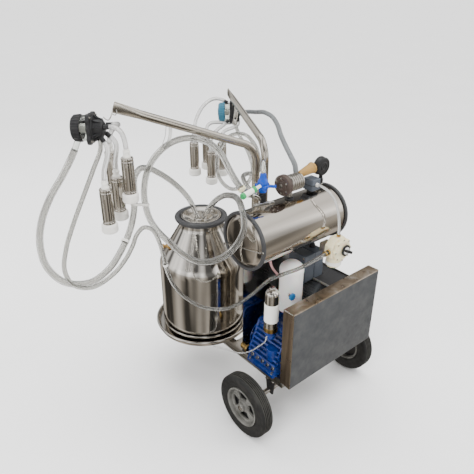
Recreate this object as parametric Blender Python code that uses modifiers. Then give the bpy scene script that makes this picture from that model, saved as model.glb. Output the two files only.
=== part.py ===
"""A wheeled bucket milking machine with two four-cup clusters, as separate parts.

Axes: X runs along the wheel axle, Y from the belt guard towards the milk bucket, Z up. Units are metres.
Places are given from the ground point below the middle of the axle. At the end, one empty moves the whole
machine so that the world's origin is on the ground at the middle of its footprint.
"""

import math

import bmesh
import bpy
from mathutils import Matrix, Vector

GAP = 0.0004  # left between parts that touch
FOOTPRINT_MIDDLE = (-0.179, 0.2814)  # of everything but the hoses

# Wheels and axle
WHEEL_RADIUS = 0.127
WHEEL_WIDTH = 0.050
TRACK_OUTSIDE = 0.322  # from the middle to each wheel's outer face
RIM_RADIUS = 0.078
AXLE_RADIUS = 0.010
AXLE_END = 0.330

# Frame
RAIL_X = 0.170
RAIL_SIZE = 0.030
RAIL_BOTTOM, RAIL_TOP = 0.190, 0.225
FRAME_FRONT, FRAME_BACK = -0.075, 0.220
DECK_TOP = RAIL_TOP + GAP + 0.003
LEG_TUBE = 0.0125
LEG_Y = 0.340
LEG_X = (0.020, 0.170)

# Belt guard, seen from the front
GUARD_X = (-0.200, 0.274)
GUARD_Y = (-0.128, -0.078)
GUARD_Z = (0.231, 0.561)

# Pump, motor and belt
PUMP_X, PUMP_Z = -0.115, 0.315
PUMP_Y = (-0.045, 0.100)
MOTOR_X, MOTOR_Z = 0.090, 0.470
MOTOR_Y = (-0.035, 0.135)
MOTOR_RADIUS = 0.078
BELT_Y = -0.100
PUMP_PULLEY, MOTOR_PULLEY = 0.072, 0.048
GROOVE_DEPTH, GROOVE_WIDTH = 0.010, 0.012
BELT_WIDTH, BELT_THICKNESS = 0.011, 0.009

# Vacuum tank, lying along X
TANK_X = (-0.277, 0.145)
TANK_Y, TANK_Z = 0.0525, 0.797
TANK_RADIUS = 0.097

# Bucket
BUCKET_X, BUCKET_Y = -0.165, 0.435
BUCKET_RADIUS = 0.177
BUCKET_BASE = 0.2375
SHOULDER_Z, MOUTH_Z, LID_Z = 0.536, 0.714, 0.7325
MOUTH_RADIUS, GASKET_RADIUS = 0.086, 0.1055
TRAY_RADIUS = 0.209
NOZZLES = (((-0.184, 0.428), (-0.186, 0.456, 0.7605)), ((-0.176, 0.414), (-0.171, 0.386, 0.7615)))

# Handle: two posts side by side whose tops spread into two horns
POST_RADIUS = 0.0135
POST_Y = 0.195
POST_X = (-0.092, -0.048)
BEND_Z = 1.050
HORN_ENDS = ((-0.560, 0.311, 1.236), (0.163, 0.661, 1.136))

# Milking clusters: claw centre, turn about Z, and each cup's place and liner mouth height
CLUSTER_TURN = math.radians(-40)
CLAWS = {"left": (-0.614, 0.320, 1.181), "right": (0.160, 0.612, 1.059)}
CUPS = {
    "left": ((-0.628, 0.285, 0.858), (-0.562, 0.335, 0.866), (-0.547, 0.282, 0.940), (-0.542, 0.400, 0.930)),
    "right": ((-0.027, 0.660, 0.803), (0.018, 0.600, 0.770), (0.045, 0.665, 0.815), (0.085, 0.610, 0.790)),
}
CUP_RADIUS, CUP_LENGTH = 0.0195, 0.118
MOUTHPIECE_RADIUS, MOUTHPIECE_LENGTH = 0.0265, 0.030
CUP_BORE = 0.0125
CUP_NECK = 0.026

# Hoses: diameter, then the points that each one is led through
HOSES = {
    "milk_hose_left": (0.021, (
        (-0.6718, 0.3684, 1.1142), (-0.684, 0.376, 1.088), (-0.718, 0.370, 1.046), (-0.772, 0.358, 0.990),
        (-0.811, 0.350, 0.930), (-0.836, 0.330, 0.866), (-0.838, 0.299, 0.800), (-0.806, 0.258, 0.754),
        (-0.743, 0.226, 0.743), (-0.676, 0.226, 0.765), (-0.619, 0.246, 0.801), (-0.567, 0.275, 0.843),
        (-0.527, 0.308, 0.891), (-0.505, 0.335, 0.942), (-0.485, 0.362, 0.983), (-0.448, 0.385, 1.000),
        (-0.402, 0.402, 0.985), (-0.356, 0.418, 0.954), (-0.304, 0.440, 0.913), (-0.256, 0.462, 0.869),
        (-0.218, 0.477, 0.829), (-0.192, 0.474, 0.790), (-0.1862, 0.4577, 0.7628),
    )),
    "pulse_hose_left": (0.014, (
        (-0.6105, 0.317, 1.1458), (-0.613, 0.316, 1.118), (-0.650, 0.304, 1.064), (-0.694, 0.296, 0.995),
        (-0.740, 0.285, 0.925), (-0.782, 0.270, 0.855), (-0.805, 0.248, 0.800), (-0.797, 0.220, 0.760),
        (-0.750, 0.198, 0.742), (-0.680, 0.192, 0.763), (-0.628, 0.203, 0.792), (-0.594, 0.213, 0.823),
        (-0.573, 0.219, 0.853), (-0.545, 0.221, 0.870), (-0.517, 0.217, 0.856), (-0.501, 0.209, 0.815),
        (-0.486, 0.211, 0.750), (-0.469, 0.224, 0.685), (-0.440, 0.238, 0.612), (-0.393, 0.240, 0.534),
        (-0.334, 0.203, 0.480), (-0.276, 0.149, 0.476), (-0.243, 0.102, 0.513), (-0.214, 0.055, 0.570),
        (-0.186, 0.010, 0.633), (-0.155, -0.030, 0.664), (-0.112, -0.058, 0.682), (-0.065, -0.072, 0.697),
        (-0.018, -0.080, 0.709), (0.0126, -0.080, 0.712),
    )),
    "milk_hose_right": (0.016, (
        (0.1628, 0.6096, 1.0245), (0.1628, 0.6060, 0.994), (0.164, 0.569, 0.945), (0.152, 0.506, 0.895),
        (0.124, 0.452, 0.852), (0.082, 0.424, 0.818), (0.034, 0.414, 0.803), (-0.012, 0.433, 0.802),
        (-0.034, 0.472, 0.835), (-0.022, 0.510, 0.895), (0.016, 0.525, 0.958), (0.066, 0.517, 0.996),
        (0.108, 0.485, 0.996), (0.118, 0.435, 0.964), (0.090, 0.377, 0.926), (0.036, 0.315, 0.912),
        (-0.030, 0.262, 0.922), (-0.100, 0.232, 0.944), (-0.158, 0.188, 0.958), (-0.192, 0.130, 0.952),
        (-0.198, 0.090, 0.940), (-0.1955, 0.069, 0.938),
    )),
    "pulse_hose_right": (0.018, (
        (0.187, 0.5895, 1.059), (0.207, 0.573, 1.060), (0.211, 0.539, 1.064), (0.191, 0.487, 1.077),
        (0.166, 0.435, 1.089), (0.138, 0.360, 1.091), (0.097, 0.285, 1.079), (0.047, 0.215, 1.063),
        (0.003, 0.145, 1.047), (-0.025, 0.093, 1.031), (-0.0365, 0.059, 1.008), (-0.0370, 0.0525, 0.9845),
    )),
    "vacuum_hose": (0.021, (
        (-0.1709, 0.3855, 0.7622), (-0.1695, 0.366, 0.788), (-0.169, 0.330, 0.827), (-0.180, 0.268, 0.868),
        (-0.201, 0.207, 0.894), (-0.224, 0.154, 0.912), (-0.254, 0.098, 0.924), (-0.283, 0.051, 0.924),
        (-0.304, 0.015, 0.909), (-0.313, 0.003, 0.879), (-0.333, 0.001, 0.843), (-0.368, 0.012, 0.804),
        (-0.407, 0.038, 0.778), (-0.437, 0.082, 0.767), (-0.457, 0.135, 0.777), (-0.466, 0.200, 0.799),
        (-0.474, 0.252, 0.822), (-0.480, 0.288, 0.853), (-0.482, 0.308, 0.897), (-0.476, 0.320, 0.951),
        (-0.456, 0.325, 1.008), (-0.423, 0.317, 1.058), (-0.378, 0.292, 1.098), (-0.338, 0.245, 1.117),
        (-0.303, 0.195, 1.108), (-0.286, 0.150, 1.078), (-0.284, 0.108, 1.034), (-0.279, 0.078, 0.999),
        (-0.265, 0.065, 0.973), (-0.246, 0.062, 0.956), (-0.226, 0.061, 0.948),
    )),
    "link_tube": (0.010, (
        (0.048, 0.0272, 0.925), (0.048, 0.004, 0.925), (0.050, -0.030, 0.914), (0.055, -0.057, 0.884),
        (0.058, -0.072, 0.842), (0.060, -0.079, 0.798), (0.060, -0.080, 0.7590),
    )),
}
TUBE_STEPS_PER_POINT = 2


def clear_scene():
    for obj in list(bpy.data.objects):
        bpy.data.objects.remove(obj, do_unlink=True)


clear_scene()
PARTS = bpy.data.collections.new("milking_machine")
CUTTERS = bpy.data.collections.new("cutters")
bpy.context.scene.collection.children.link(PARTS)
bpy.context.scene.collection.children.link(CUTTERS)
FINISHES = {}


def finish(name, colour, roughness, metallic=0.0, alpha=1.0):
    """A plain Principled material, made once for each name."""
    if name not in FINISHES:
        made = bpy.data.materials.new(name)
        made.use_nodes = True
        shader = made.node_tree.nodes["Principled BSDF"]
        shader.inputs["Base Color"].default_value = (*colour, 1.0)
        shader.inputs["Roughness"].default_value = roughness
        shader.inputs["Metallic"].default_value = metallic
        shader.inputs["Alpha"].default_value = alpha
        FINISHES[name] = made
    return FINISHES[name]


STEEL = finish("polished_steel", (0.70, 0.67, 0.62), 0.12, 1.0)
SATIN = finish("satin_steel", (0.55, 0.52, 0.48), 0.35, 1.0)
RUBBER = finish("black_rubber", (0.025, 0.025, 0.025), 0.7)
GREY_PAINT = finish("grey_paint", (0.12, 0.125, 0.13), 0.55)
HUB_GREY = finish("hub_plastic", (0.27, 0.27, 0.24), 0.5)
PUMP_BLUE = finish("blue_casting", (0.010, 0.055, 0.33), 0.4)
BRIGHT_BLUE = finish("bright_blue_plastic", (0.005, 0.09, 0.60), 0.35)
CREAM = finish("cream_plastic", (0.80, 0.74, 0.50), 0.4)
WHITE = finish("white_plastic", (0.82, 0.82, 0.78), 0.45)
BLACK = finish("black_plastic", (0.02, 0.02, 0.02), 0.35)
BROWN = finish("brown_cover", (0.10, 0.06, 0.04), 0.4)
CLEAR = finish("clear_hose", (0.80, 0.82, 0.80), 0.15, 0.0, 0.5)
GREY_HOSE = finish("grey_hose", (0.20, 0.21, 0.23), 0.5)


def add(name, mesh, material, collection=None):
    """Puts a mesh into the scene as a named part."""
    obj = bpy.data.objects.new(name, mesh)
    (collection or PARTS).objects.link(obj)
    if material:
        obj.data.materials.append(material)
    return obj


def mesh_of(name, bm):
    bmesh.ops.recalc_face_normals(bm, faces=bm.faces)
    mesh = bpy.data.meshes.new(name)
    bm.to_mesh(mesh)
    bm.free()
    return mesh


def box(name, x, y, z, material, bevel=0.0, collection=None):
    """A block between pairs of coordinates."""
    bm = bmesh.new()
    size = Vector((x[1] - x[0], y[1] - y[0], z[1] - z[0]))
    centre = Vector((x[0] + x[1], y[0] + y[1], z[0] + z[1])) / 2
    bmesh.ops.create_cube(bm, size=1.0)
    bmesh.ops.scale(bm, vec=size, verts=bm.verts)
    obj = add(name, mesh_of(name, bm), material, collection)
    obj.location = centre
    if bevel:
        round_edges(obj, bevel)
    return obj


def round_edges(obj, width, segments=2, angle=40):
    made = obj.modifiers.new("rounded_edges", "BEVEL")
    made.width = width
    made.segments = segments
    made.limit_method = "ANGLE"
    made.angle_limit = math.radians(angle)
    return made


def rod(name, start, end, radius, material, sides=24, collection=None):
    """A solid cylinder between two points."""
    start, end = Vector(start), Vector(end)
    bm = bmesh.new()
    bmesh.ops.create_cone(bm, cap_ends=True, segments=sides, radius1=radius, radius2=radius,
                          depth=(end - start).length)
    obj = add(name, mesh_of(name, bm), material, collection)
    obj.rotation_mode = "QUATERNION"
    obj.rotation_quaternion = (end - start).to_track_quat("Z", "Y")
    obj.location = (start + end) / 2
    return obj


def turned(name, profile, material, steps=32, closed=False, collection=None):
    """A part turned about Z. The profile is (radius, height) pairs, down its outer side first."""
    mesh = bpy.data.meshes.new(name)
    points = [(radius, 0.0, height) for radius, height in profile]
    edges = [(i, i + 1) for i in range(len(points) - 1)]
    if closed:
        edges.append((len(points) - 1, 0))
    mesh.from_pydata(points, edges, [])
    obj = add(name, mesh, material, collection)
    screw = obj.modifiers.new("turning", "SCREW")
    screw.axis = "Z"
    screw.steps = steps
    screw.render_steps = steps
    screw.use_merge_vertices = True
    screw.merge_threshold = 1e-4
    screw.use_smooth_shade = True
    return obj


def along_x(obj, x, y, z, flip=False):
    """Lays a turned part along X: its Z end points to +X, or to -X when flipped."""
    obj.rotation_euler = (0.0, math.radians(-90 if flip else 90), 0.0)
    obj.location = (x, y, z)
    return obj


def along_y(obj, x, y, z, flip=False):
    """Lays a turned part along Y: its Z end points to -Y, or to +Y when flipped."""
    obj.rotation_euler = (math.radians(-90 if flip else 90), 0.0, 0.0)
    obj.location = (x, y, z)
    return obj


def outline(name, loops, thickness, material, collection=None):
    """A flat outline in its own XY plane, extruded to both sides; later loops are holes."""
    curve = bpy.data.curves.new(name, "CURVE")
    curve.dimensions = "2D"
    curve.fill_mode = "BOTH"
    curve.extrude = thickness / 2
    for loop in loops:
        spline = curve.splines.new("POLY")
        spline.points.add(len(loop) - 1)
        for point, (x, y) in zip(spline.points, loop, strict=True):
            point.co = (x, y, 0.0, 1.0)
        spline.use_cyclic_u = True
    obj = bpy.data.objects.new(name, curve)
    (collection or PARTS).objects.link(obj)
    curve.materials.append(material)
    return obj


def facing_y(obj, y):
    """Stands an outline up so that its X is world X, its Y is world Z and its middle is at y."""
    obj.rotation_euler = (math.radians(90), 0.0, 0.0)
    obj.location = (0.0, y, 0.0)
    return obj


def smooth_points(route, steps):
    """Points of a Catmull-Rom curve through the route, with centripetal spacing."""
    route = [Vector(p) for p in route]
    ends = [2 * route[0] - route[1], *route, 2 * route[-1] - route[-2]]
    points = []
    for a, b, c, d in zip(ends, ends[1:], ends[2:], ends[3:]):
        t0 = 0.0
        t1 = t0 + math.sqrt((b - a).length)
        t2 = t1 + math.sqrt((c - b).length)
        t3 = t2 + math.sqrt((d - c).length)
        for i in range(steps):
            t = t1 + (t2 - t1) * i / steps
            ab = a.lerp(b, (t - t0) / (t1 - t0))
            bc = b.lerp(c, (t - t1) / (t2 - t1))
            cd = c.lerp(d, (t - t2) / (t3 - t2))
            abc = ab.lerp(bc, (t - t0) / (t2 - t0))
            bcd = bc.lerp(cd, (t - t1) / (t3 - t1))
            points.append(abc.lerp(bcd, (t - t1) / (t2 - t1)))
    return [*points, route[-1]]


def tube(name, points, radius, material, resolution=2):
    """A solid round tube along points."""
    curve = bpy.data.curves.new(name, "CURVE")
    curve.dimensions = "3D"
    curve.bevel_depth = radius
    curve.bevel_resolution = resolution
    curve.use_fill_caps = True
    spline = curve.splines.new("POLY")
    spline.points.add(len(points) - 1)
    for point, place in zip(spline.points, points, strict=True):
        point.co = (*place, 1.0)
    obj = bpy.data.objects.new(name, curve)
    PARTS.objects.link(obj)
    curve.materials.append(material)
    return obj


def as_mesh(obj):
    """Turns a curve part into a mesh with its caps welded, so that it can be cut or joined."""
    graph = bpy.context.evaluated_depsgraph_get()
    graph.update()
    mesh = bpy.data.meshes.new_from_object(obj.evaluated_get(graph))
    bm = bmesh.new()
    bm.from_mesh(mesh)
    bmesh.ops.remove_doubles(bm, verts=bm.verts, dist=1e-6)
    bm.to_mesh(mesh)
    bm.free()
    name, place = obj.name, obj.matrix_world.copy()
    bpy.data.objects.remove(obj, do_unlink=True)
    made = add(name, mesh, None)
    made.matrix_world = place
    return made


def boolean(obj, other, operation):
    """Cuts another object away from a part, or joins it on, and keeps it as a hidden helper."""
    made = obj.modifiers.new(f"{operation.lower()}_{other.name}", "BOOLEAN")
    made.operation = operation
    made.object = other
    made.solver = "EXACT"
    for collection in list(other.users_collection):
        collection.objects.unlink(other)
    CUTTERS.objects.link(other)
    other.hide_render = True
    other.display_type = "WIRE"


def axis_marker(name, place):
    empty = bpy.data.objects.new(name, None)
    empty.empty_display_size = 0.05
    PARTS.objects.link(empty)
    empty.location = place
    return empty


def arc(centre, radius, start, end, steps):
    """Points of an arc, with angles in degrees."""
    return [
        (centre[0] + radius * math.cos(math.radians(start + (end - start) * i / steps)),
         centre[1] + radius * math.sin(math.radians(start + (end - start) * i / steps)))
        for i in range(steps + 1)
    ]


def tyre(name, x, side):
    half = WHEEL_WIDTH / 2
    shoulder = WHEEL_RADIUS - 0.007
    profile = [
        (RIM_RADIUS, half - 0.006), (RIM_RADIUS + 0.006, half - 0.001), (shoulder - 0.010, half),
        (WHEEL_RADIUS - 0.002, half - 0.009), (WHEEL_RADIUS, 0.010), (WHEEL_RADIUS, -0.010),
        (WHEEL_RADIUS - 0.002, -half + 0.009), (shoulder - 0.010, -half),
        (RIM_RADIUS + 0.006, -half + 0.001), (RIM_RADIUS, -half + 0.006),
    ]
    part = turned(name, profile, RUBBER, 28, closed=True)
    return along_x(part, x, 0.0, WHEEL_RADIUS, flip=side < 0)


def hub(name, x, side):
    """The rim with a dished web, four round windows and a boss, bored for the axle."""
    half = WHEEL_WIDTH / 2
    rim, bore, boss = RIM_RADIUS - GAP, AXLE_RADIUS + GAP, 0.021
    profile = [
        (bore, half + 0.004), (boss, half + 0.004), (boss + 0.002, 0.004), (rim - 0.014, 0.004),
        (rim - 0.006, half - 0.006), (rim, half - 0.0065), (rim, -half + 0.0065),
        (rim - 0.006, -half + 0.006), (rim - 0.014, -0.004), (boss + 0.002, -0.004),
        (boss, -half - 0.003), (bore, -half - 0.003),
    ]
    part = turned(name, profile, HUB_GREY, 28, closed=True)
    along_x(part, x, 0.0, WHEEL_RADIUS, flip=side < 0)
    for i in range(4):
        angle = math.radians(49.5 + 90 * i)
        y = 0.042 * math.cos(angle)
        z = WHEEL_RADIUS + 0.042 * math.sin(angle)
        window = rod(f"{name}_window_{i}", (x - 0.03, y, z), (x + 0.03, y, z), 0.0125, None, 10)
        boolean(part, window, "DIFFERENCE")
    return part


def wheels():
    for label, side in (("near", -1), ("far", 1)):
        x = side * (TRACK_OUTSIDE - WHEEL_WIDTH / 2)
        axis_marker(f"wheel_axis_{label}", (x, 0.0, WHEEL_RADIUS))
        tyre(f"tyre_{label}", x, side)
        hub(f"hub_{label}", x, side)


def axle():
    rod("axle", (-AXLE_END, 0.0, WHEEL_RADIUS), (AXLE_END, 0.0, WHEEL_RADIUS), AXLE_RADIUS, STEEL, 24)
    for label, x in (("near", -RAIL_X), ("far", RAIL_X)):
        loop = [
            (-0.026, RAIL_BOTTOM - GAP), (-0.015, 0.108), (0.015, 0.108), (0.026, RAIL_BOTTOM - GAP),
        ]
        hole = arc((0.0, WHEEL_RADIUS), AXLE_RADIUS + GAP, 0, 345, 23)
        plate = outline(f"axle_bracket_{label}", (loop, hole), 0.006, BLACK)
        plate.rotation_euler = (math.radians(90), 0.0, math.radians(90))
        plate.location = (x, 0.0, 0.0)


def frame():
    half = RAIL_SIZE / 2
    heights = (RAIL_BOTTOM, RAIL_TOP)
    box("rail_near", (-RAIL_X - half, -RAIL_X + half), (FRAME_FRONT, 0.560), heights, SATIN, 0.002)
    box("rail_far", (RAIL_X - half, RAIL_X + half), (FRAME_FRONT, 0.360), heights, SATIN, 0.002)
    inside = RAIL_X - half - GAP
    box("cross_rear", (-inside, inside), (FRAME_BACK - 0.030, FRAME_BACK), heights, SATIN, 0.002)
    box("rail_middle", (LEG_X[0] - half, LEG_X[0] + half), (FRAME_BACK + GAP, 0.530), heights, SATIN, 0.002)
    deck_x = RAIL_X + half
    box("deck_plate", (-deck_x, deck_x), (FRAME_FRONT, FRAME_BACK), (RAIL_TOP + GAP, DECK_TOP), SATIN)
    top = RAIL_BOTTOM - GAP
    bend = 0.035
    route = [(LEG_X[0], LEG_Y, top)]
    route += [(x, LEG_Y, z) for x, z in arc((LEG_X[0] + bend, LEG_TUBE + bend), bend, 180, 270, 6)]
    route += [(x, LEG_Y, z) for x, z in arc((LEG_X[1] - bend, LEG_TUBE + bend), bend, 270, 360, 6)]
    route.append((LEG_X[1], LEG_Y, top))
    tube("stand_leg", route, LEG_TUBE, SATIN, 3)


def tray():
    bottom = RAIL_TOP + GAP
    wall, lip = 0.0015, 0.005
    rim = TRAY_RADIUS - lip
    top = bottom + 0.020
    profile = [
        (0.0, bottom + wall), (rim - 0.018, bottom + wall), (rim - 0.006, bottom + 0.008),
        (rim - 0.003, top),
        *[(rim + lip * math.cos(math.radians(a)), top + lip * math.sin(math.radians(a)))
          for a in (150, 90, 30, -30)],
        (rim - 0.001, top - 0.008), (rim - 0.004, bottom + 0.006), (rim - 0.017, bottom), (0.0, bottom),
    ]
    part = turned("bucket_tray", profile, STEEL, 32)
    part.location = (BUCKET_X, BUCKET_Y, 0.0)


def bucket():
    wall = 0.0015
    inner = MOUTH_RADIUS - wall
    radius = BUCKET_RADIUS
    profile = [
        (0.0, BUCKET_BASE + 0.002), (radius - 0.014, BUCKET_BASE + 0.002),
        (radius - wall - 0.002, BUCKET_BASE + 0.014), (radius - wall, SHOULDER_Z - 0.008),
        (radius - 0.010, SHOULDER_Z + 0.010), (inner + 0.004, MOUTH_Z - 0.028), (inner, MOUTH_Z - 0.018),
        (inner, MOUTH_Z), (MOUTH_RADIUS + 0.004, MOUTH_Z), (MOUTH_RADIUS + 0.004, MOUTH_Z - 0.004),
        (MOUTH_RADIUS, MOUTH_Z - 0.005), (MOUTH_RADIUS, MOUTH_Z - 0.018),
        (MOUTH_RADIUS + 0.005, MOUTH_Z - 0.026), (radius - 0.008, SHOULDER_Z + 0.012),
        (radius, SHOULDER_Z - 0.006), (radius, BUCKET_BASE + 0.014), (radius - 0.013, BUCKET_BASE),
        (0.0, BUCKET_BASE),
    ]
    part = turned("bucket", profile, STEEL, 32)
    part.location = (BUCKET_X, BUCKET_Y, 0.0)
    ring = [
        (GASKET_RADIUS - 0.003, LID_Z), (GASKET_RADIUS, LID_Z - 0.004), (GASKET_RADIUS, MOUTH_Z + 0.005),
        (GASKET_RADIUS - 0.004, MOUTH_Z + GAP), (MOUTH_RADIUS - 0.004, MOUTH_Z + GAP),
        (MOUTH_RADIUS - 0.002, MOUTH_Z + 0.006), (MOUTH_RADIUS, LID_Z),
    ]
    gasket = turned("lid_gasket", ring, RUBBER, 28, closed=True)
    gasket.location = (BUCKET_X, BUCKET_Y, 0.0)
    edge = MOUTH_RADIUS - 0.004 - GAP
    bowl = [
        (0.0, LID_Z - 0.008), (edge - 0.030, LID_Z - 0.008), (edge - 0.012, LID_Z - 0.006),
        (edge - 0.002, LID_Z - 0.001), (edge - 0.001, LID_Z - 0.003), (edge - 0.001, MOUTH_Z + 0.006),
        (edge - 0.012, LID_Z - 0.010), (edge - 0.030, LID_Z - 0.011), (0.0, LID_Z - 0.011),
    ]
    lid = turned("bucket_lid", bowl, STEEL, 28)
    lid.location = (BUCKET_X, BUCKET_Y, 0.0)
    for i, (foot, tip) in enumerate(NOZZLES):
        outlet = rod(f"nozzle_{i}", (*foot, LID_Z - 0.010), tip, 0.009, None, 16)
        boolean(lid, outlet, "UNION")


def guard():
    """The belt guard: a shallow box that is open towards the belt."""
    bm = bmesh.new()
    bmesh.ops.create_cube(bm, size=1.0)
    size = (GUARD_X[1] - GUARD_X[0], GUARD_Y[1] - GUARD_Y[0], GUARD_Z[1] - GUARD_Z[0])
    bmesh.ops.scale(bm, vec=size, verts=bm.verts)
    back = [face for face in bm.faces if face.calc_center_median().y > size[1] / 2 - 1e-4]
    bmesh.ops.delete(bm, geom=back, context="FACES_ONLY")
    part = add("belt_guard", mesh_of("belt_guard", bm), GREY_PAINT)
    part.location = [sum(pair) / 2 for pair in (GUARD_X, GUARD_Y, GUARD_Z)]
    round_edges(part, 0.004, 2)
    shell = part.modifiers.new("sheet", "SOLIDIFY")
    shell.thickness = 0.002
    shell.offset = -1.0


def pulley(name, x, z, radius, shaft):
    """A one-groove belt pulley and its shaft, turned as one piece about Y."""
    half, wide = GROOVE_WIDTH / 2, 0.011
    floor = radius - GROOVE_DEPTH
    front = [(0.0, wide + 0.004), (0.014, wide + 0.004), (0.014, wide - 0.004)]
    rim = [
        (radius - 0.012, wide - 0.004), (radius - 0.010, wide), (radius, wide), (radius, half),
        (floor, half), (floor, -half), (radius, -half), (radius, -wide),
    ]
    back = [(0.018, -wide), (0.018, -wide - 0.006)]
    profile = front + rim + back + shaft
    return along_y(turned(name, profile, SATIN, 22), x, BELT_Y, z)


def belt():
    """The V-belt's loop round both pulleys, as two arcs joined by straight runs."""
    pump, motor = Vector((PUMP_X, PUMP_Z)), Vector((MOTOR_X, MOTOR_Z))
    between = motor - pump
    heading = math.degrees(math.atan2(between.y, between.x))
    loops = []
    for inset in (0.0, BELT_THICKNESS):
        large = PUMP_PULLEY - GAP - inset
        small = MOTOR_PULLEY - GAP - inset
        swing = math.degrees(math.acos((large - small) / between.length))
        loop = arc(pump, large, heading + swing, heading + 360 - swing, 20)
        loop += arc(motor, small, heading - swing, heading + swing, 14)
        loops.append(loop)
    facing_y(outline("drive_belt", loops, BELT_WIDTH, RUBBER), BELT_Y)


def pump():
    """The vane pump: a finned casting with a bored chamber, its end cover, rotor and pulley."""
    left, right = PUMP_X - 0.086, PUMP_X + 0.078
    bottom, top = DECK_TOP + GAP, 0.398
    fins, root = 8, left + 0.020
    pitch = (top - bottom - 0.030) / fins
    comb = [(right, bottom), (right, top - 0.012), (right - 0.012, top), (left + 0.012, top)]
    for i in range(fins):
        upper = top - 0.014 - i * pitch
        comb += [(left, upper), (left, upper - 0.55 * pitch)]
        if i < fins - 1:
            comb += [(root, upper - 0.60 * pitch), (root, upper - 0.95 * pitch)]
    comb += [(left - 0.004, bottom + 0.012), (left - 0.004, bottom)]
    body = as_mesh(outline("pump_body", (comb,), PUMP_Y[1] - PUMP_Y[0], PUMP_BLUE))
    facing_y(body, sum(PUMP_Y) / 2)
    offset = 0.005
    chamber = rod("pump_chamber", (PUMP_X, PUMP_Y[0] + 0.018, PUMP_Z - offset),
                  (PUMP_X, PUMP_Y[1] + 0.01, PUMP_Z - offset), 0.052, None, 32)
    boolean(body, chamber, "DIFFERENCE")
    shaft_hole = rod("pump_shaft_hole", (PUMP_X, PUMP_Y[0] - 0.01, PUMP_Z),
                     (PUMP_X, PUMP_Y[0] + 0.03, PUMP_Z), 0.0125, None, 24)
    boolean(body, shaft_hole, "DIFFERENCE")
    box("pump_cover", (left + 0.004, right), (PUMP_Y[1] + GAP, PUMP_Y[1] + 0.016),
        (bottom, top - 0.004), PUMP_BLUE, 0.006)
    reach = BELT_Y - PUMP_Y[0]
    shaft = [
        (0.0115, -0.017), (0.0115, reach - 0.020), (0.045, reach - 0.020),
        (0.045, BELT_Y - PUMP_Y[1] + 0.001), (0.0, BELT_Y - PUMP_Y[1] + 0.001),
    ]
    pulley("pump_rotor", PUMP_X, PUMP_Z, PUMP_PULLEY, shaft)


def oil_system():
    x, y = -0.188, -0.008
    profile = [
        (0.0, 0.612), (0.012, 0.612), (0.016, 0.606), (0.0265, 0.600), (0.0265, 0.430), (0.019, 0.426),
        (0.019, 0.3984 + GAP), (0.0, 0.3984 + GAP),
    ]
    part = turned("exhaust_silencer", profile, STEEL, 24)
    part.location = (x, y, 0.0)
    x, y = -0.075, 0.010
    foot = 0.3984 + GAP
    bottle = turned("oil_bottle", [
        (0.0, 0.694), (0.020, 0.694), (0.022, 0.690), (0.022, 0.676), (0.028, 0.674), (0.041, 0.664),
        (0.045, 0.650), (0.045, 0.470), (0.040, 0.462), (0.016, 0.460), (0.016, foot), (0.0, foot),
    ], WHITE, 24)
    bottle.location = (x, y, 0.0)
    tap_z = 0.560
    tap = turned("oil_tap", [
        (0.0, 0.012), (0.010, 0.012), (0.014, 0.009), (0.014, 0.001), (0.006, -0.001), (0.006, -0.006),
        (0.0, -0.006),
    ], BRIGHT_BLUE, 16)
    along_y(tap, x - 0.045, y - 0.045, tap_z)


def motor():
    length = MOTOR_Y[1] - MOTOR_Y[0]
    bore = 0.0115
    profile = [
        (0.0, length / 2 - 0.022), (bore, length / 2 - 0.022), (bore, length / 2 + 0.004),
        (0.020, length / 2 + 0.004), (0.024, length / 2), (MOTOR_RADIUS - 0.012, length / 2),
        (MOTOR_RADIUS, length / 2 - 0.008), (MOTOR_RADIUS, -length / 2 + 0.030),
        (MOTOR_RADIUS - 0.003, -length / 2 + 0.028), (MOTOR_RADIUS - 0.003, -length / 2 + 0.008),
        (MOTOR_RADIUS - 0.012, -length / 2), (0.0, -length / 2),
    ]
    along_y(turned("motor_body", profile, GREY_PAINT, 24), MOTOR_X, sum(MOTOR_Y) / 2, MOTOR_Z)
    reach = BELT_Y - MOTOR_Y[0]
    shaft = [(0.0110, -0.017), (0.0110, reach - 0.016), (0.0, reach - 0.016)]
    pulley("motor_rotor", MOTOR_X, MOTOR_Z, MOTOR_PULLEY, shaft)
    height = MOTOR_Z - MOTOR_RADIUS - GAP
    half, wall = 0.048, 0.005
    bottom = DECK_TOP + GAP
    arch = [
        (-half, bottom), (-half, height), (half, height), (half, bottom), (half - wall, bottom),
        (half - wall, height - wall), (-half + wall, height - wall), (-half + wall, bottom),
    ]
    arch = [(MOTOR_X + x, z) for x, z in arch]
    facing_y(outline("motor_stand", (arch,), 0.140, GREY_PAINT), 0.050)
    z = MOTOR_Z + MOTOR_RADIUS + GAP
    blue_grey = finish("blue_grey", (0.2, 0.23, 0.28), 0.5)
    box("switch_box", (-0.010, 0.094), (0.004, 0.092), (z, 0.662), blue_grey, 0.004)


def tank():
    wall = 0.002
    cap = 0.0147
    ends = (TANK_X[0] + cap, TANK_X[1] - cap)
    half = (ends[1] - ends[0]) / 2
    shell = [
        (TANK_RADIUS - wall, half), (TANK_RADIUS, half), (TANK_RADIUS, -half), (TANK_RADIUS - wall, -half),
    ]
    along_x(turned("tank_shell", shell, STEEL, 36, closed=True), sum(ends) / 2, TANK_Y, TANK_Z)
    for label, x, flip in (("near", ends[0], True), ("far", ends[1], False)):
        profile = [
            (0.0, 0.026), (0.045, 0.024), (0.082, 0.016), (0.092, 0.010), (0.096, 0.0135),
            (0.1035, 0.0125), (0.1035, GAP), (0.0, GAP),
        ]
        along_x(turned(f"tank_cap_{label}", profile, STEEL, 28), x, TANK_Y, TANK_Z, flip)
    back = TANK_Y + TANK_RADIUS + GAP
    box("tank_panel", (-0.185, 0.120), (back, back + 0.003), (DECK_TOP + GAP, 0.800), STEEL)


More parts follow.
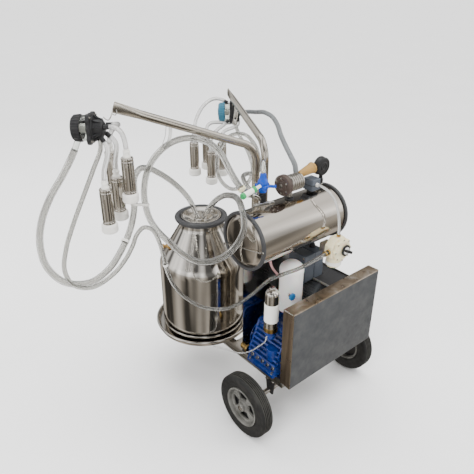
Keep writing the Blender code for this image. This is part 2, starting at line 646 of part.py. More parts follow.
def tank_fittings():
    top = TANK_Z + TANK_RADIUS + GAP
    regulator = turned("vacuum_regulator", [
        (0.0, 1.018), (0.010, 1.018), (0.013, 0.992), (0.022, 0.988), (0.026, 0.980), (0.026, 0.968),
        (0.018, 0.960), (0.013, 0.956), (0.013, 0.920), (0.009, 0.918), (0.009, top), (0.0, top),
    ], BRIGHT_BLUE, 24)
    regulator.location = (-0.190, TANK_Y, 0.0)
    screw = turned("regulator_screw", [
        (0.0, 1.062), (0.006, 1.062), (0.009, 1.056), (0.010, 1.024),
        (0.008, 1.018 + GAP), (0.0, 1.018 + GAP),
    ], CLEAR, 16)
    screw.location = (-0.190, TANK_Y, 0.0)
    drum_x, drum_z = -0.062, 0.951
    drum = turned("line_pulsator", [
        (0.0, 0.050), (0.020, 0.050), (0.028, 0.044), (0.028, -0.018), (0.037, -0.020), (0.037, -0.040),
        (0.033, -0.044), (0.0, -0.044),
    ], BROWN, 28)
    along_x(drum, drum_x, TANK_Y, drum_z)
    neck = rod("line_pulsator_neck", (drum_x, TANK_Y, top), (drum_x, TANK_Y, drum_z), 0.012, None, 16)
    boolean(drum, neck, "UNION")
    block = box("outlet_manifold", (0.026, 0.070), (0.028, 0.076), (top + 0.004, 0.945), WHITE, 0.003)
    foot = rod("manifold_foot", (0.048, TANK_Y, top), (0.048, TANK_Y, top + 0.01), 0.014, None, 16)
    boolean(block, foot, "UNION")
    gauge_z = 0.978
    gauge = turned("vacuum_gauge", [
        (0.0, 0.011), (0.031, 0.011), (0.034, 0.008), (0.034, -0.011), (0.031, -0.013), (0.0, -0.013),
    ], BLACK, 32)
    along_y(gauge, 0.095, TANK_Y, gauge_z)
    stem = rod("gauge_stem", (0.095, TANK_Y, top), (0.095, TANK_Y, gauge_z), 0.007, None, 16)
    boolean(gauge, stem, "UNION")


def milk_pulsator():
    """The cream pulsator below the tank's far end: an eight-sided box, a bracket foot and a knob."""
    x, z, radius = 0.060, 0.712, 0.050
    front, back = -0.108, -0.052
    loop = arc((x, z), radius, 22.5, 337.5, 7)
    body = as_mesh(outline("milk_pulsator", (loop,), back - front, CREAM))
    facing_y(body, (front + back) / 2)
    beside, upward = (x - 0.020, x + 0.020), (z - 0.030, z + 0.006)
    bracket = box("pulsator_foot", beside, (back - 0.01, -0.0125), upward, None)
    boolean(body, bracket, "UNION")
    knob = turned("pulsator_knob", [
        (0.0, 0.020), (0.014, 0.020), (0.017, 0.017), (0.019, 0.004), (0.022, 0.003), (0.022, GAP),
        (0.0, GAP),
    ], BLACK, 24)
    along_y(knob, x + 0.012, front, z - 0.002)


def handles():
    """Two bent tubes: each goes up as a post and bends over into a horn."""
    bend, steps = 0.075, 8
    for label, x, tip in zip(("left", "right"), POST_X, HORN_ENDS, strict=True):
        corner = Vector((x, POST_Y, BEND_Z))
        along = (Vector(tip) - corner).normalized()
        up = Vector((0.0, 0.0, 1.0))
        turn = along.angle(up)
        reach = bend * math.tan(turn / 2)
        start, finish_at = corner - up * reach, corner + along * reach
        centre = start + (along - up * along.dot(up)).normalized() * bend
        route = [Vector((x, POST_Y, DECK_TOP + GAP)), start]
        spoke = start - centre
        axis = spoke.cross(up).normalized()
        route += [centre + Matrix.Rotation(turn * i / steps, 3, axis) @ spoke for i in range(1, steps)]
        route += [finish_at, Vector(tip)]
        tube(f"handle_{label}", route, POST_RADIUS, STEEL, 3)


def cluster(label):
    """One milking cluster: the claw, its clear bowl, and four hanging teat cups."""
    place = Vector(CLAWS[label])
    turn = Matrix.Rotation(CLUSTER_TURN, 4, "Z")
    lay = Matrix.Translation(place) @ turn @ Matrix.Rotation(math.radians(90), 4, "Y")
    claw = turned(f"claw_{label}", [
        (0.0, 0.034), (0.020, 0.034), (0.030, 0.026), (0.034, 0.012), (0.034, -0.006), (0.048, -0.010),
        (0.050, -0.014), (0.050, -0.022), (0.046, -0.025), (0.0, -0.025),
    ], BLACK, 24)
    claw.matrix_world = lay
    bowl = turned(f"claw_bowl_{label}", [
        (0.0, -0.025 - GAP), (0.045, -0.025 - GAP), (0.0455, -0.045), (0.040, -0.062), (0.026, -0.072),
        (0.016, -0.074), (0.015, -0.084), (0.0, -0.085),
    ], CLEAR, 24)
    bowl.matrix_world = lay
    if label == "left":
        inside, tip = (place + turn @ Vector(at) for at in ((-0.055, 0.0, -0.025), (-0.075, 0.0, -0.066)))
        boolean(bowl, rod("bowl_spigot", inside, tip, 0.0085, None, 16), "UNION")
    for i, (x, y, mouth) in enumerate(CUPS[label]):
        cup(f"teat_cup_{label}_{i + 1}", x, y, mouth)


def cup(name, x, y, mouth):
    """A steel shell over its liner. The liner's open mouth points down, as the cup hangs."""
    lip = mouth + MOUTHPIECE_LENGTH
    top = lip + CUP_LENGTH
    wide, bore = MOUTHPIECE_RADIUS, CUP_BORE
    part = turned(name, [
        (0.0, top + CUP_NECK), (0.009, top + CUP_NECK), (0.009, top), (CUP_RADIUS - 0.003, top),
        (CUP_RADIUS, top - 0.006), (CUP_RADIUS, lip), (wide, lip - 0.004), (wide, mouth + 0.004),
        (wide - 0.004, mouth), (bore, mouth), (bore, top - 0.018), (0.0, top - 0.012),
    ], STEEL, 14)
    part.location = (x, y, 0.0)


def hoses():
    for name, (diameter, route) in HOSES.items():
        material = GREY_HOSE if name == "pulse_hose_right" else CLEAR
        tube(name, smooth_points(route, TUBE_STEPS_PER_POINT), diameter / 2, material)



def centre_on_ground():
    """Hang every loose object on one empty that puts the footprint's middle on the world's origin."""
    middle = bpy.data.objects.new("footprint_middle", None)
    PARTS.objects.link(middle)
    middle.location = (-FOOTPRINT_MIDDLE[0], -FOOTPRINT_MIDDLE[1], 0.0)
    for obj in list(PARTS.objects) + list(CUTTERS.objects):
        if obj.parent is None and obj != middle:
            obj.parent = middle


wheels()
axle()
frame()
tray()
bucket()
guard()
belt()
pump()
oil_system()
motor()
tank()
tank_fittings()
milk_pulsator()
handles()
for side_name in CLAWS:
    cluster(side_name)
hoses()
centre_on_ground()
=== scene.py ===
"""The looks of a wheeled bucket milking machine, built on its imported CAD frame.

Places are given from the ground point below the middle of the axle: X along the axle, Y from the belt guard
towards the milk bucket, Z up, in metres. keep() moves each finished piece from there into the world, whose
origin is the middle of the machine's footprint.
"""

import math

import bmesh
import bpy
from mathutils import Matrix, Vector


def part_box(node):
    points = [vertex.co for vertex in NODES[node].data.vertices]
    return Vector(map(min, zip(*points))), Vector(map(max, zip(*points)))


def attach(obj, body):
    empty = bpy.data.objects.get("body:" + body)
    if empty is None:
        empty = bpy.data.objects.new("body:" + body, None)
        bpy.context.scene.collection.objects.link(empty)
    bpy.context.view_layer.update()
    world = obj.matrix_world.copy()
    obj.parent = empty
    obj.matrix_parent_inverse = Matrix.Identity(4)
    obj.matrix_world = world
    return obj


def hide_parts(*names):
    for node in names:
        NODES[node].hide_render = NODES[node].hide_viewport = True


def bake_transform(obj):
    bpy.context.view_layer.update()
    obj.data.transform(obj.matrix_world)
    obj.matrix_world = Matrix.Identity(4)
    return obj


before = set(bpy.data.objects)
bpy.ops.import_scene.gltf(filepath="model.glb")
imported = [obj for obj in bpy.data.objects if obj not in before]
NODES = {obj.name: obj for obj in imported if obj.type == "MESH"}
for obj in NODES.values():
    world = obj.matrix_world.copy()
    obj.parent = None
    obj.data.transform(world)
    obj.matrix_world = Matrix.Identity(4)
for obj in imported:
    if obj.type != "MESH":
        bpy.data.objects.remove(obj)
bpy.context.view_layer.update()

LOOKS = bpy.data.collections.new("looks")
STAGE = bpy.data.collections.new("stage")
bpy.context.scene.collection.children.link(LOOKS)
bpy.context.scene.collection.children.link(STAGE)

AXLE_LOW, AXLE_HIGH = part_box("axle")
ORIGIN = Vector(((AXLE_LOW[0] + AXLE_HIGH[0]) / 2, (AXLE_LOW[1] + AXLE_HIGH[1]) / 2, 0.0))
X, Y, Z = Vector((1.0, 0.0, 0.0)), Vector((0.0, 1.0, 0.0)), Vector((0.0, 0.0, 1.0))
GAP = 0.0005
SHARP = math.radians(36)


def span(*nodes):
    """Lowest and highest corner of some CAD nodes, from the ground point below the axle."""
    boxes = [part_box(node) for node in nodes]
    low = Vector([min(box[0][i] for box in boxes) for i in range(3)]) - ORIGIN
    high = Vector([max(box[1][i] for box in boxes) for i in range(3)]) - ORIGIN
    return low, high


def middle(*nodes):
    """The middle of some CAD nodes' box, from the ground point below the axle."""
    low, high = span(*nodes)
    return (low + high) / 2


# ---------------------------------------------------------------- camera


def camera():
    """The photograph's view: from the near front corner, above the handles' height."""
    yaw, pitch, roll = math.radians(40.258), math.radians(27.017), math.radians(0.137)
    forward = Vector((math.sin(yaw) * math.cos(pitch), math.cos(yaw) * math.cos(pitch), -math.sin(pitch)))
    right = Vector((math.cos(yaw), -math.sin(yaw), 0.0))
    up = right.cross(forward)
    turn = Matrix((right, up, -forward)).transposed() @ Matrix.Rotation(roll, 3, "Z")
    eye = bpy.data.cameras.new("camera")
    eye.lens = 38.71
    eye.sensor_width = 36.0
    obj = bpy.data.objects.new("camera", eye)
    STAGE.objects.link(obj)
    obj.matrix_world = Matrix.Translation(ORIGIN + Vector((-1.2568, -1.0778, 1.5776))) @ turn.to_4x4()
    bpy.context.scene.camera = obj


# ---------------------------------------------------------------- finishes


def set_input(tree, node, socket, value):
    """Give a node's input a value, or link an output to it."""
    if isinstance(value, bpy.types.NodeSocket):
        tree.links.new(value, node.inputs[socket])
    else:
        node.inputs[socket].default_value = value


def add_node(tree, kind, **inputs):
    """A new node, whose inputs are named with underscores for spaces."""
    node = tree.nodes.new(kind)
    for socket, value in inputs.items():
        set_input(tree, node, socket.replace("_", " "), value)
    return node


def colour_ramp(tree, factor, stops):
    """Colours at positions from 0 to 1."""
    node = add_node(tree, "ShaderNodeValToRGB", Fac=factor)
    marks = node.color_ramp.elements
    while len(marks) < len(stops):
        marks.new(0.5)
    for mark, (position, colour) in zip(marks, stops):
        mark.position = position
        mark.color = (*colour, 1.0)
    return node.outputs["Color"]


class Finish:
    """A procedural material around one Principled shader, in object coordinates."""

    def __init__(self, name, colour, roughness, metallic=0.0, **sockets):
        self.material = bpy.data.materials.new(name)
        self.material.use_nodes = True
        self.tree = self.material.node_tree
        self.shader = self.tree.nodes["Principled BSDF"]
        self.set("Base Color", (*colour, 1.0))
        self.set("Roughness", roughness)
        self.set("Metallic", metallic)
        for socket, value in sockets.items():
            self.set(socket.replace("_", " "), value)
        self.place = self.add("ShaderNodeTexCoord").outputs["Object"]

    def set(self, socket, value):
        """Give the shader's input a value, or link an output to it."""
        set_input(self.tree, self.shader, socket, value)

    def add(self, kind, **inputs):
        """A new node in this material."""
        return add_node(self.tree, kind, **inputs)

    def noise(self, scale, detail=3.0, stretch=(1.0, 1.0, 1.0), distortion=0.0):
        """Cloudy noise from 0 to 1. A stretch below 1 draws it out along that axis."""
        mapped = self.add("ShaderNodeMapping", Vector=self.place, Scale=stretch)
        made = self.add("ShaderNodeTexNoise", Vector=mapped.outputs[0], Scale=scale, Detail=detail,
                        Distortion=distortion)
        return made.outputs["Fac"]

    def tint(self, factor, *stops):
        """Colour that follows a factor, from stops of a position and a colour."""
        self.set("Base Color", colour_ramp(self.tree, factor, stops))
        return self

    def gloss(self, factor, low, high):
        """Roughness that runs from low to high as the factor goes from 0.3 to 0.7."""
        made = self.add("ShaderNodeMapRange", Value=factor, From_Min=0.3, From_Max=0.7, To_Min=low,
                        To_Max=high)
        self.set("Roughness", made.outputs[0])
        return self

    def bump(self, height, depth, strength=1.0):
        """A relief of a depth in metres, which follows a height from 0 to 1."""
        made = self.add("ShaderNodeBump", Height=height, Distance=depth, Strength=strength)
        self.set("Normal", made.outputs[0])
        return self


def polished(name, colour, darker, rough=(0.05, 0.14), stretch=(1.0, 1.0, 1.0)):
    """Polished stainless steel: faint clouds of colour, smears of roughness and a very slight ripple."""
    made = Finish(name, colour, rough[0], 1.0)
    made.tint(made.noise(3.0, 4.0, stretch), (0.3, darker), (0.7, colour))
    made.gloss(made.noise(14.0, 5.0, stretch, 0.4), *rough)
    return made.bump(made.noise(9.0, 2.0, stretch), 0.0006, 0.25).material


def brushed(name, colour, rough, stretch):
    """Drawn or brushed metal, with fine lines along the axis whose stretch is small."""
    made = Finish(name, colour, rough, 1.0)
    darker = tuple(0.9 * c for c in colour)
    made.tint(made.noise(22.0, 4.0, stretch), (0.25, darker), (0.75, colour))
    made.gloss(made.noise(160.0, 3.0, stretch), 0.75 * rough, 1.35 * rough)
    return made.bump(made.noise(420.0, 2.0, stretch), 0.00004, 0.35).material


def moulded(name, colour, rough, grain=900.0, dirt=0.85, **sockets):
    """Moulded plastic or rubber: a fine grain and slightly uneven colour."""
    made = Finish(name, colour, rough, **sockets)
    made.tint(made.noise(26.0, 4.0), (0.3, tuple(dirt * c for c in colour)), (0.7, colour))
    made.gloss(made.noise(60.0, 4.0), 0.85 * rough, min(1.0, 1.2 * rough))
    return made.bump(made.noise(grain, 2.0), 0.00006, 0.6).material


def clear_vinyl(name, colour, rough=0.06, clear=1.0, edge=0.28):
    """Clear plastic: it bends and mirrors light as a wall does, and its colour is painted darker where it is
    seen edge on, a painted edge shade.
    """
    made = Finish(name, colour, rough, IOR=1.45, Transmission_Weight=clear)
    # Painted shade: the colour darkens towards the silhouette, where the wall is seen edge on.
    facing = made.add("ShaderNodeLayerWeight", Blend=0.45).outputs["Facing"]
    made.tint(facing, (0.25, colour), (0.85, tuple(edge * c for c in colour)))
    return made.bump(made.noise(16.0, 1.0), 0.0006, 0.15).material


def guard_sheet():
    """Dark grey coated sheet, finely mottled and slightly scuffed."""
    made = Finish("guard_sheet", (0.12, 0.125, 0.13), 0.42, 0.3)
    made.tint(made.noise(26.0, 9.0, distortion=0.4), (0.3, (0.064, 0.068, 0.072)),
              (0.5, (0.078, 0.082, 0.086)), (0.72, (0.1, 0.103, 0.104)))
    made.gloss(made.noise(70.0, 5.0), 0.36, 0.5)
    return made.bump(made.noise(240.0, 4.0), 0.00015, 0.3).material


def aged_steel():
    """Stainless sheet edges that took a brown heat tint, with pale scratches along them."""
    made = Finish("tinted_steel", (0.3, 0.24, 0.18), 0.34, 0.9)
    streaks = made.noise(16.0, 7.0, (1.0, 1.0, 0.16), 0.8)
    made.tint(streaks, (0.3, (0.13, 0.095, 0.065)), (0.5, (0.3, 0.235, 0.17)), (0.62, (0.42, 0.35, 0.28)),
              (0.72, (0.75, 0.71, 0.64)))
    made.gloss(made.noise(40.0, 4.0), 0.24, 0.46)
    return made.bump(made.noise(80.0, 3.0), 0.0002, 0.4).material


def cast_paint():
    """Glossy blue enamel on a rough casting."""
    made = Finish("blue_enamel", (0.003, 0.022, 0.15), 0.22, 0.0, Coat_Weight=0.6, Coat_Roughness=0.08)
    made.tint(made.noise(20.0, 5.0), (0.3, (0.002, 0.012, 0.085)), (0.7, (0.005, 0.033, 0.21)))
    made.gloss(made.noise(45.0, 4.0), 0.16, 0.36)
    return made.bump(made.noise(190.0, 3.0), 0.0004, 0.5).material


def tyre_rubber():
    """Black rubber with a little pale dust."""
    made = Finish("tyre_rubber", (0.016, 0.016, 0.016), 0.62)
    dust = made.noise(13.0, 6.0, distortion=0.5)
    made.tint(dust, (0.3, (0.01, 0.01, 0.01)), (0.58, (0.017, 0.017, 0.016)), (0.82, (0.04, 0.038, 0.034)))
    made.gloss(made.noise(35.0, 4.0), 0.48, 0.76)
    return made.bump(made.noise(420.0, 3.0), 0.0003, 0.6).material


def hub_plastic():
    """Grey-beige moulded wheel centre with scuffs."""
    made = Finish("hub_plastic", (0.14, 0.14, 0.125), 0.5)
    made.tint(made.noise(24.0, 6.0), (0.28, (0.085, 0.084, 0.075)), (0.55, (0.135, 0.132, 0.12)),
              (0.8, (0.2, 0.196, 0.178)))
    made.gloss(made.noise(50.0, 4.0), 0.38, 0.62)
    return made.bump(made.noise(260.0, 3.0), 0.0003, 0.4).material


STEEL = polished("polished_steel", (0.74, 0.71, 0.665), (0.6, 0.57, 0.525))
TANK_STEEL = polished("tank_steel", (0.68, 0.635, 0.575), (0.52, 0.475, 0.42), (0.05, 0.13), (0.1, 1.0, 1.0))
TUBE_STEEL = polished("handle_steel", (0.76, 0.71, 0.63), (0.68, 0.63, 0.55), (0.18, 0.28))
BAR_STEEL = brushed("bar_steel", (0.58, 0.55, 0.5), 0.3, (1.0, 0.02, 1.0))
CUP_STEEL = polished("cup_steel", (0.8, 0.76, 0.7), (0.74, 0.7, 0.64), (0.14, 0.22))
BRIGHT = polished("bright_fitting", (0.78, 0.76, 0.72), (0.62, 0.6, 0.56), (0.1, 0.22))
BRASS = polished("brass", (0.62, 0.42, 0.16), (0.42, 0.28, 0.1), (0.18, 0.34))
SHEET = guard_sheet()
TINTED = aged_steel()
BLUE = cast_paint()
TYRE = tyre_rubber()
TREAD_LINE = moulded("tread_line", (0.06, 0.058, 0.05), 0.7)
HUB = hub_plastic()
GASKET = moulded("gasket_rubber", (0.045, 0.045, 0.047), 0.42)
BLACK = moulded("black_plastic", (0.018, 0.018, 0.019), 0.34)
DARK_PAINT = moulded("black_paint", (0.022, 0.022, 0.023), 0.38, 300.0)
BROWN = moulded("brown_cover", (0.06, 0.042, 0.034), 0.34, 240.0)
BRIGHT_BLUE = moulded("bright_blue_plastic", (0.004, 0.065, 0.48), 0.22, 700.0, 0.75, Coat_Weight=0.4)
TEAL = moulded("teal_band", (0.035, 0.16, 0.24), 0.35)
TAP_BLUE = moulded("tap_blue", (0.02, 0.14, 0.34), 0.32)
GREEN = moulded("green_plastic", (0.02, 0.3, 0.09), 0.35)
CREAM = moulded("cream_plastic", (0.8, 0.7, 0.46), 0.36, 600.0, 0.9, Subsurface_Weight=0.15)
AMBER = moulded("amber_plastic", (0.36, 0.21, 0.06), 0.3, 500.0, 0.8)
WHITE = moulded("white_plastic", (0.84, 0.82, 0.77), 0.38, 500.0, 0.93)
BOTTLE = moulded("bottle_plastic", (0.88, 0.87, 0.85), 0.32, 120.0, 0.95, Subsurface_Weight=0.3)
GREY_BOX = moulded("grey_box", (0.085, 0.098, 0.12), 0.4)
MOTOR_GREY = moulded("motor_grey", (0.075, 0.08, 0.085), 0.45, 220.0)
GREY_HOSE = moulded("grey_hose", (0.16, 0.168, 0.172), 0.3)
# The clear plastics below all carry the painted edge shade of clear_vinyl.
VINYL = clear_vinyl("clear_vinyl", (0.58, 0.575, 0.55), 0.04, 0.95)
MILKY = clear_vinyl("milky_tube", (0.8, 0.795, 0.78), 0.14, 0.65)
BOWL = clear_vinyl("clear_bowl", (0.72, 0.74, 0.7), 0.03)
PINK = clear_vinyl("pink_tube", (0.85, 0.5, 0.5), 0.15, 0.5)

# ---------------------------------------------------------------- modelling


def keep(obj, body="machine", stands_for=(), bevel=0.0, smooth=True):
    """Finish a piece: move it into the world, shade it and let it ride on its body, if it has just one."""
    obj.data.transform(Matrix.Translation(ORIGIN) @ obj.matrix_basis)
    obj.matrix_basis = Matrix()
    if obj.type == "MESH" and smooth:
        obj.data.shade_smooth()
        obj.data.set_sharp_from_angle(angle=SHARP)
    if bevel:
        edge = obj.modifiers.new("edges", "BEVEL")
        edge.width = bevel
        edge.segments = 3
        edge.limit_method = "ANGLE"
        edge.angle_limit = SHARP
        edge.harden_normals = True
    if body:
        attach(obj, body)
    if stands_for:
        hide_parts(*stands_for)
    return obj


def thing(name, bm, material):
    """A new object from a bmesh."""
    mesh = bpy.data.meshes.new(name)
    bmesh.ops.recalc_face_normals(bm, faces=bm.faces)
    bm.to_mesh(mesh)
    bm.free()
    mesh.materials.append(material)
    obj = bpy.data.objects.new(name, mesh)
    LOOKS.objects.link(obj)
    return obj


def towards(place, direction):
    """The matrix that puts a shape made along +Z at a place, pointing in a direction."""
    return Matrix.Translation(Vector(place)) @ Z.rotation_difference(Vector(direction)).to_matrix().to_4x4()


def lathe(name, profile, material, place, direction=Z, steps=96, closed=False):
    """A shape turned about a direction. The profile is a list of (radius, distance along it)."""
    bm = bmesh.new()
    verts = [bm.verts.new((radius, 0.0, along)) for radius, along in profile]
    pairs = list(zip(verts, verts[1:])) + ([(verts[-1], verts[0])] if closed else [])
    edges = [bm.edges.new(pair) for pair in pairs]
    bmesh.ops.spin(bm, geom=verts + edges, cent=(0, 0, 0), axis=(0, 0, 1), angle=2 * math.pi, steps=steps,
                   use_merge=True)
    bmesh.ops.remove_doubles(bm, verts=bm.verts, dist=1e-6)
    obj = thing(name, bm, material)
    obj.matrix_basis = towards(place, direction)
    return obj


def lathed(name, corners, material, place, direction=Z, steps=96, closed=False, body="machine", stands_for=(),
           easing=5):
    """A finished turned piece, whose profile has eased corners."""
    return keep(lathe(name, eased(corners, easing), material, place, direction, steps, closed), body,
                stands_for)


def box_mesh(low, high):
    """A bmesh box between two corners."""
    bm = bmesh.new()
    low, high = Vector(low), Vector(high)
    size = Matrix.Diagonal((*(high - low), 1.0))
    bmesh.ops.create_cube(bm, size=1.0, matrix=Matrix.Translation((low + high) / 2) @ size)
    return bm


def block(name, low, high, material):
    """A box between two corners."""
    return thing(name, box_mesh(low, high), material)


def smooth_points(route, steps):
    """Points of a centripetal Catmull-Rom curve through a route."""
    route = [Vector(point) for point in route]
    route = [2 * route[0] - route[1], *route, 2 * route[-1] - route[-2]]
    made = []
    for a, b, c, d in zip(route, route[1:], route[2:], route[3:]):
        ta = 0.0
        tb = ta + (b - a).length ** 0.5
        tc = tb + (c - b).length ** 0.5
        td = tc + (d - c).length ** 0.5
        for i in range(steps):
            t = tb + (tc - tb) * i / steps
            ab = a.lerp(b, (t - ta) / (tb - ta))
            bc = b.lerp(c, (t - tb) / (tc - tb))
            cd = c.lerp(d, (t - tc) / (td - tc))
            made.append(ab.lerp(bc, (t - ta) / (tc - ta)).lerp(bc.lerp(cd, (t - tb) / (td - tb)),
                                                              (t - tb) / (tc - tb)))
    return [*made, route[-2]]


def sweep(name, points, section, material, sides=24, up=None):
    """A closed tube along points. Its section is (half width, half height), or a function of the share."""
    bm = bmesh.new()
    points = [Vector(point) for point in points]
    rings = []
    normal = up
    for i, point in enumerate(points):
        ahead = (points[min(i + 1, len(points) - 1)] - points[max(i - 1, 0)]).normalized()
        if normal is None:
            normal = ahead.orthogonal()
        normal = (normal - ahead * normal.dot(ahead)).normalized()
        side = ahead.cross(normal)
        wide, high = section(i / (len(points) - 1)) if callable(section) else section
        ring = []
        for k in range(sides):
            angle = 2 * math.pi * k / sides
            ring.append(bm.verts.new(point + side * wide * math.cos(angle) + normal * high * math.sin(angle)))
        rings.append(ring)
    for one, two in zip(rings, rings[1:]):
        for k in range(sides):
            bm.faces.new((one[k], one[(k + 1) % sides], two[(k + 1) % sides], two[k]))
    bm.faces.new(rings[0][::-1])
    bm.faces.new(rings[-1])
    return thing(name, bm, material)


def pipe(name, route, radius, material, steps=8, sides=24):
    """A round rod or pipe, led smoothly through a route."""
    return sweep(name, smooth_points(route, steps), (radius, radius), material, sides)


def bolts(name, places, direction, radius, height, bevel, body="machine"):
    """A finished piece of bright bolt heads with washers at places, pointing in a direction."""
    bm = bmesh.new()
    for place in places:
        matrix = towards(place, direction)
        washer = 1.35 * radius
        for sides, size, depth, raised in (
                (24, washer, 0.2 * height, 0.1 * height), (6, radius, height, 0.7 * height)):
            bmesh.ops.create_cone(bm, cap_ends=True, segments=sides, radius1=size, radius2=size, depth=depth,
                                  matrix=matrix @ Matrix.Translation((0, 0, raised)))
    return keep(thing(name, bm, BRIGHT), body, bevel=bevel)


def ring_of(count, centre, direction, radius, start=0.0):
    """Places evenly round a circle about a direction."""
    matrix = towards(centre, direction)
    angles = [start + 2 * math.pi * i / count for i in range(count)]
    return [matrix @ Vector((radius * math.cos(a), radius * math.sin(a), 0.0)) for a in angles]


def join(name, objects):
    """Several new pieces as one, each keeping its own material."""
    first = objects[0]
    with bpy.context.temp_override(active_object=first, selected_editable_objects=objects):
        bpy.ops.object.join()
    first.name = name
    return first


def paint(material, *nodes):
    """Give CAD nodes whose shape stays as it is a better finish."""
    for node in nodes:
        mesh = NODES[node].data
        mesh.materials.clear()
        mesh.materials.append(material)


def eased(corners, steps=5):
    """A profile of (radius, along) points. A third number rounds that corner over so many metres."""
    made = []
    for i, corner in enumerate(corners):
        here = Vector(corner[:2])
        if len(corner) == 2 or i in (0, len(corners) - 1):
            made.append(tuple(here))
            continue
        back, ahead = Vector(corners[i - 1][:2]) - here, Vector(corners[i + 1][:2]) - here
        reach = min(corner[2], 0.48 * back.length, 0.48 * ahead.length)
        start, end = here + back.normalized() * reach, here + ahead.normalized() * reach
        for k in range(steps + 1):
            t = k / steps
            made.append(tuple((1 - t) ** 2 * start + 2 * t * (1 - t) * here + t * t * end))
    return made


def arc(radius, start, end, steps, centre=(0.0, 0.0)):
    """Points of an arc, with angles in degrees."""
    angles = [math.radians(start + (end - start) * i / steps) for i in range(steps + 1)]
    return [(centre[0] + radius * math.cos(a), centre[1] + radius * math.sin(a)) for a in angles]


def outline(steps, radius_at):
    """A closed outline round the origin, whose radius depends on the angle."""
    angles = [2 * math.pi * i / steps for i in range(steps)]
    return [(radius_at(a) * math.cos(a), radius_at(a) * math.sin(a)) for a in angles]


def sideways(direction, angle):
    """The unit vector across a direction, at an angle about it."""
    return towards((0, 0, 0), direction) @ Matrix.Rotation(angle, 4, "Z") @ X


def plate(name, loops, thickness, material, place, direction, bevel=0.0):
    """A flat sheet centred on a place, facing a direction: an outline, then its holes."""
    flat = bpy.data.curves.new(name, "CURVE")
    flat.dimensions = "2D"
    flat.fill_mode = "BOTH"
    flat.extrude = thickness / 2 - bevel
    flat.bevel_depth = bevel
    flat.bevel_resolution = 2
    flat.offset = -bevel
    for loop in loops:
        spline = flat.splines.new("POLY")
        spline.points.add(len(loop) - 1)
        for point, (x, y) in zip(spline.points, loop):
            point.co = (x, y, 0.0, 1.0)
        spline.use_cyclic_u = True
    guide = bpy.data.objects.new(name, flat)
    mesh = bpy.data.meshes.new_from_object(guide)
    bpy.data.objects.remove(guide)
    bm = bmesh.new()
    bm.from_mesh(mesh)
    bmesh.ops.remove_doubles(bm, verts=bm.verts, dist=1e-6)
    obj = thing(name, bm, material)
    obj.matrix_basis = towards(place, direction)
    return obj


def standing_plate(name, loop, thickness, material, place, bevel):
    """A plate that faces Y, centred on a place, with its outline given as (x, z)."""
    made = plate(name, [[(x, -z) for x, z in loop]], thickness, material, place, Y, bevel)
    made.matrix_basis = Matrix.Translation(place) @ Matrix.Rotation(-math.pi / 2, 4, "X")
    return made


# ---------------------------------------------------------------- hoses

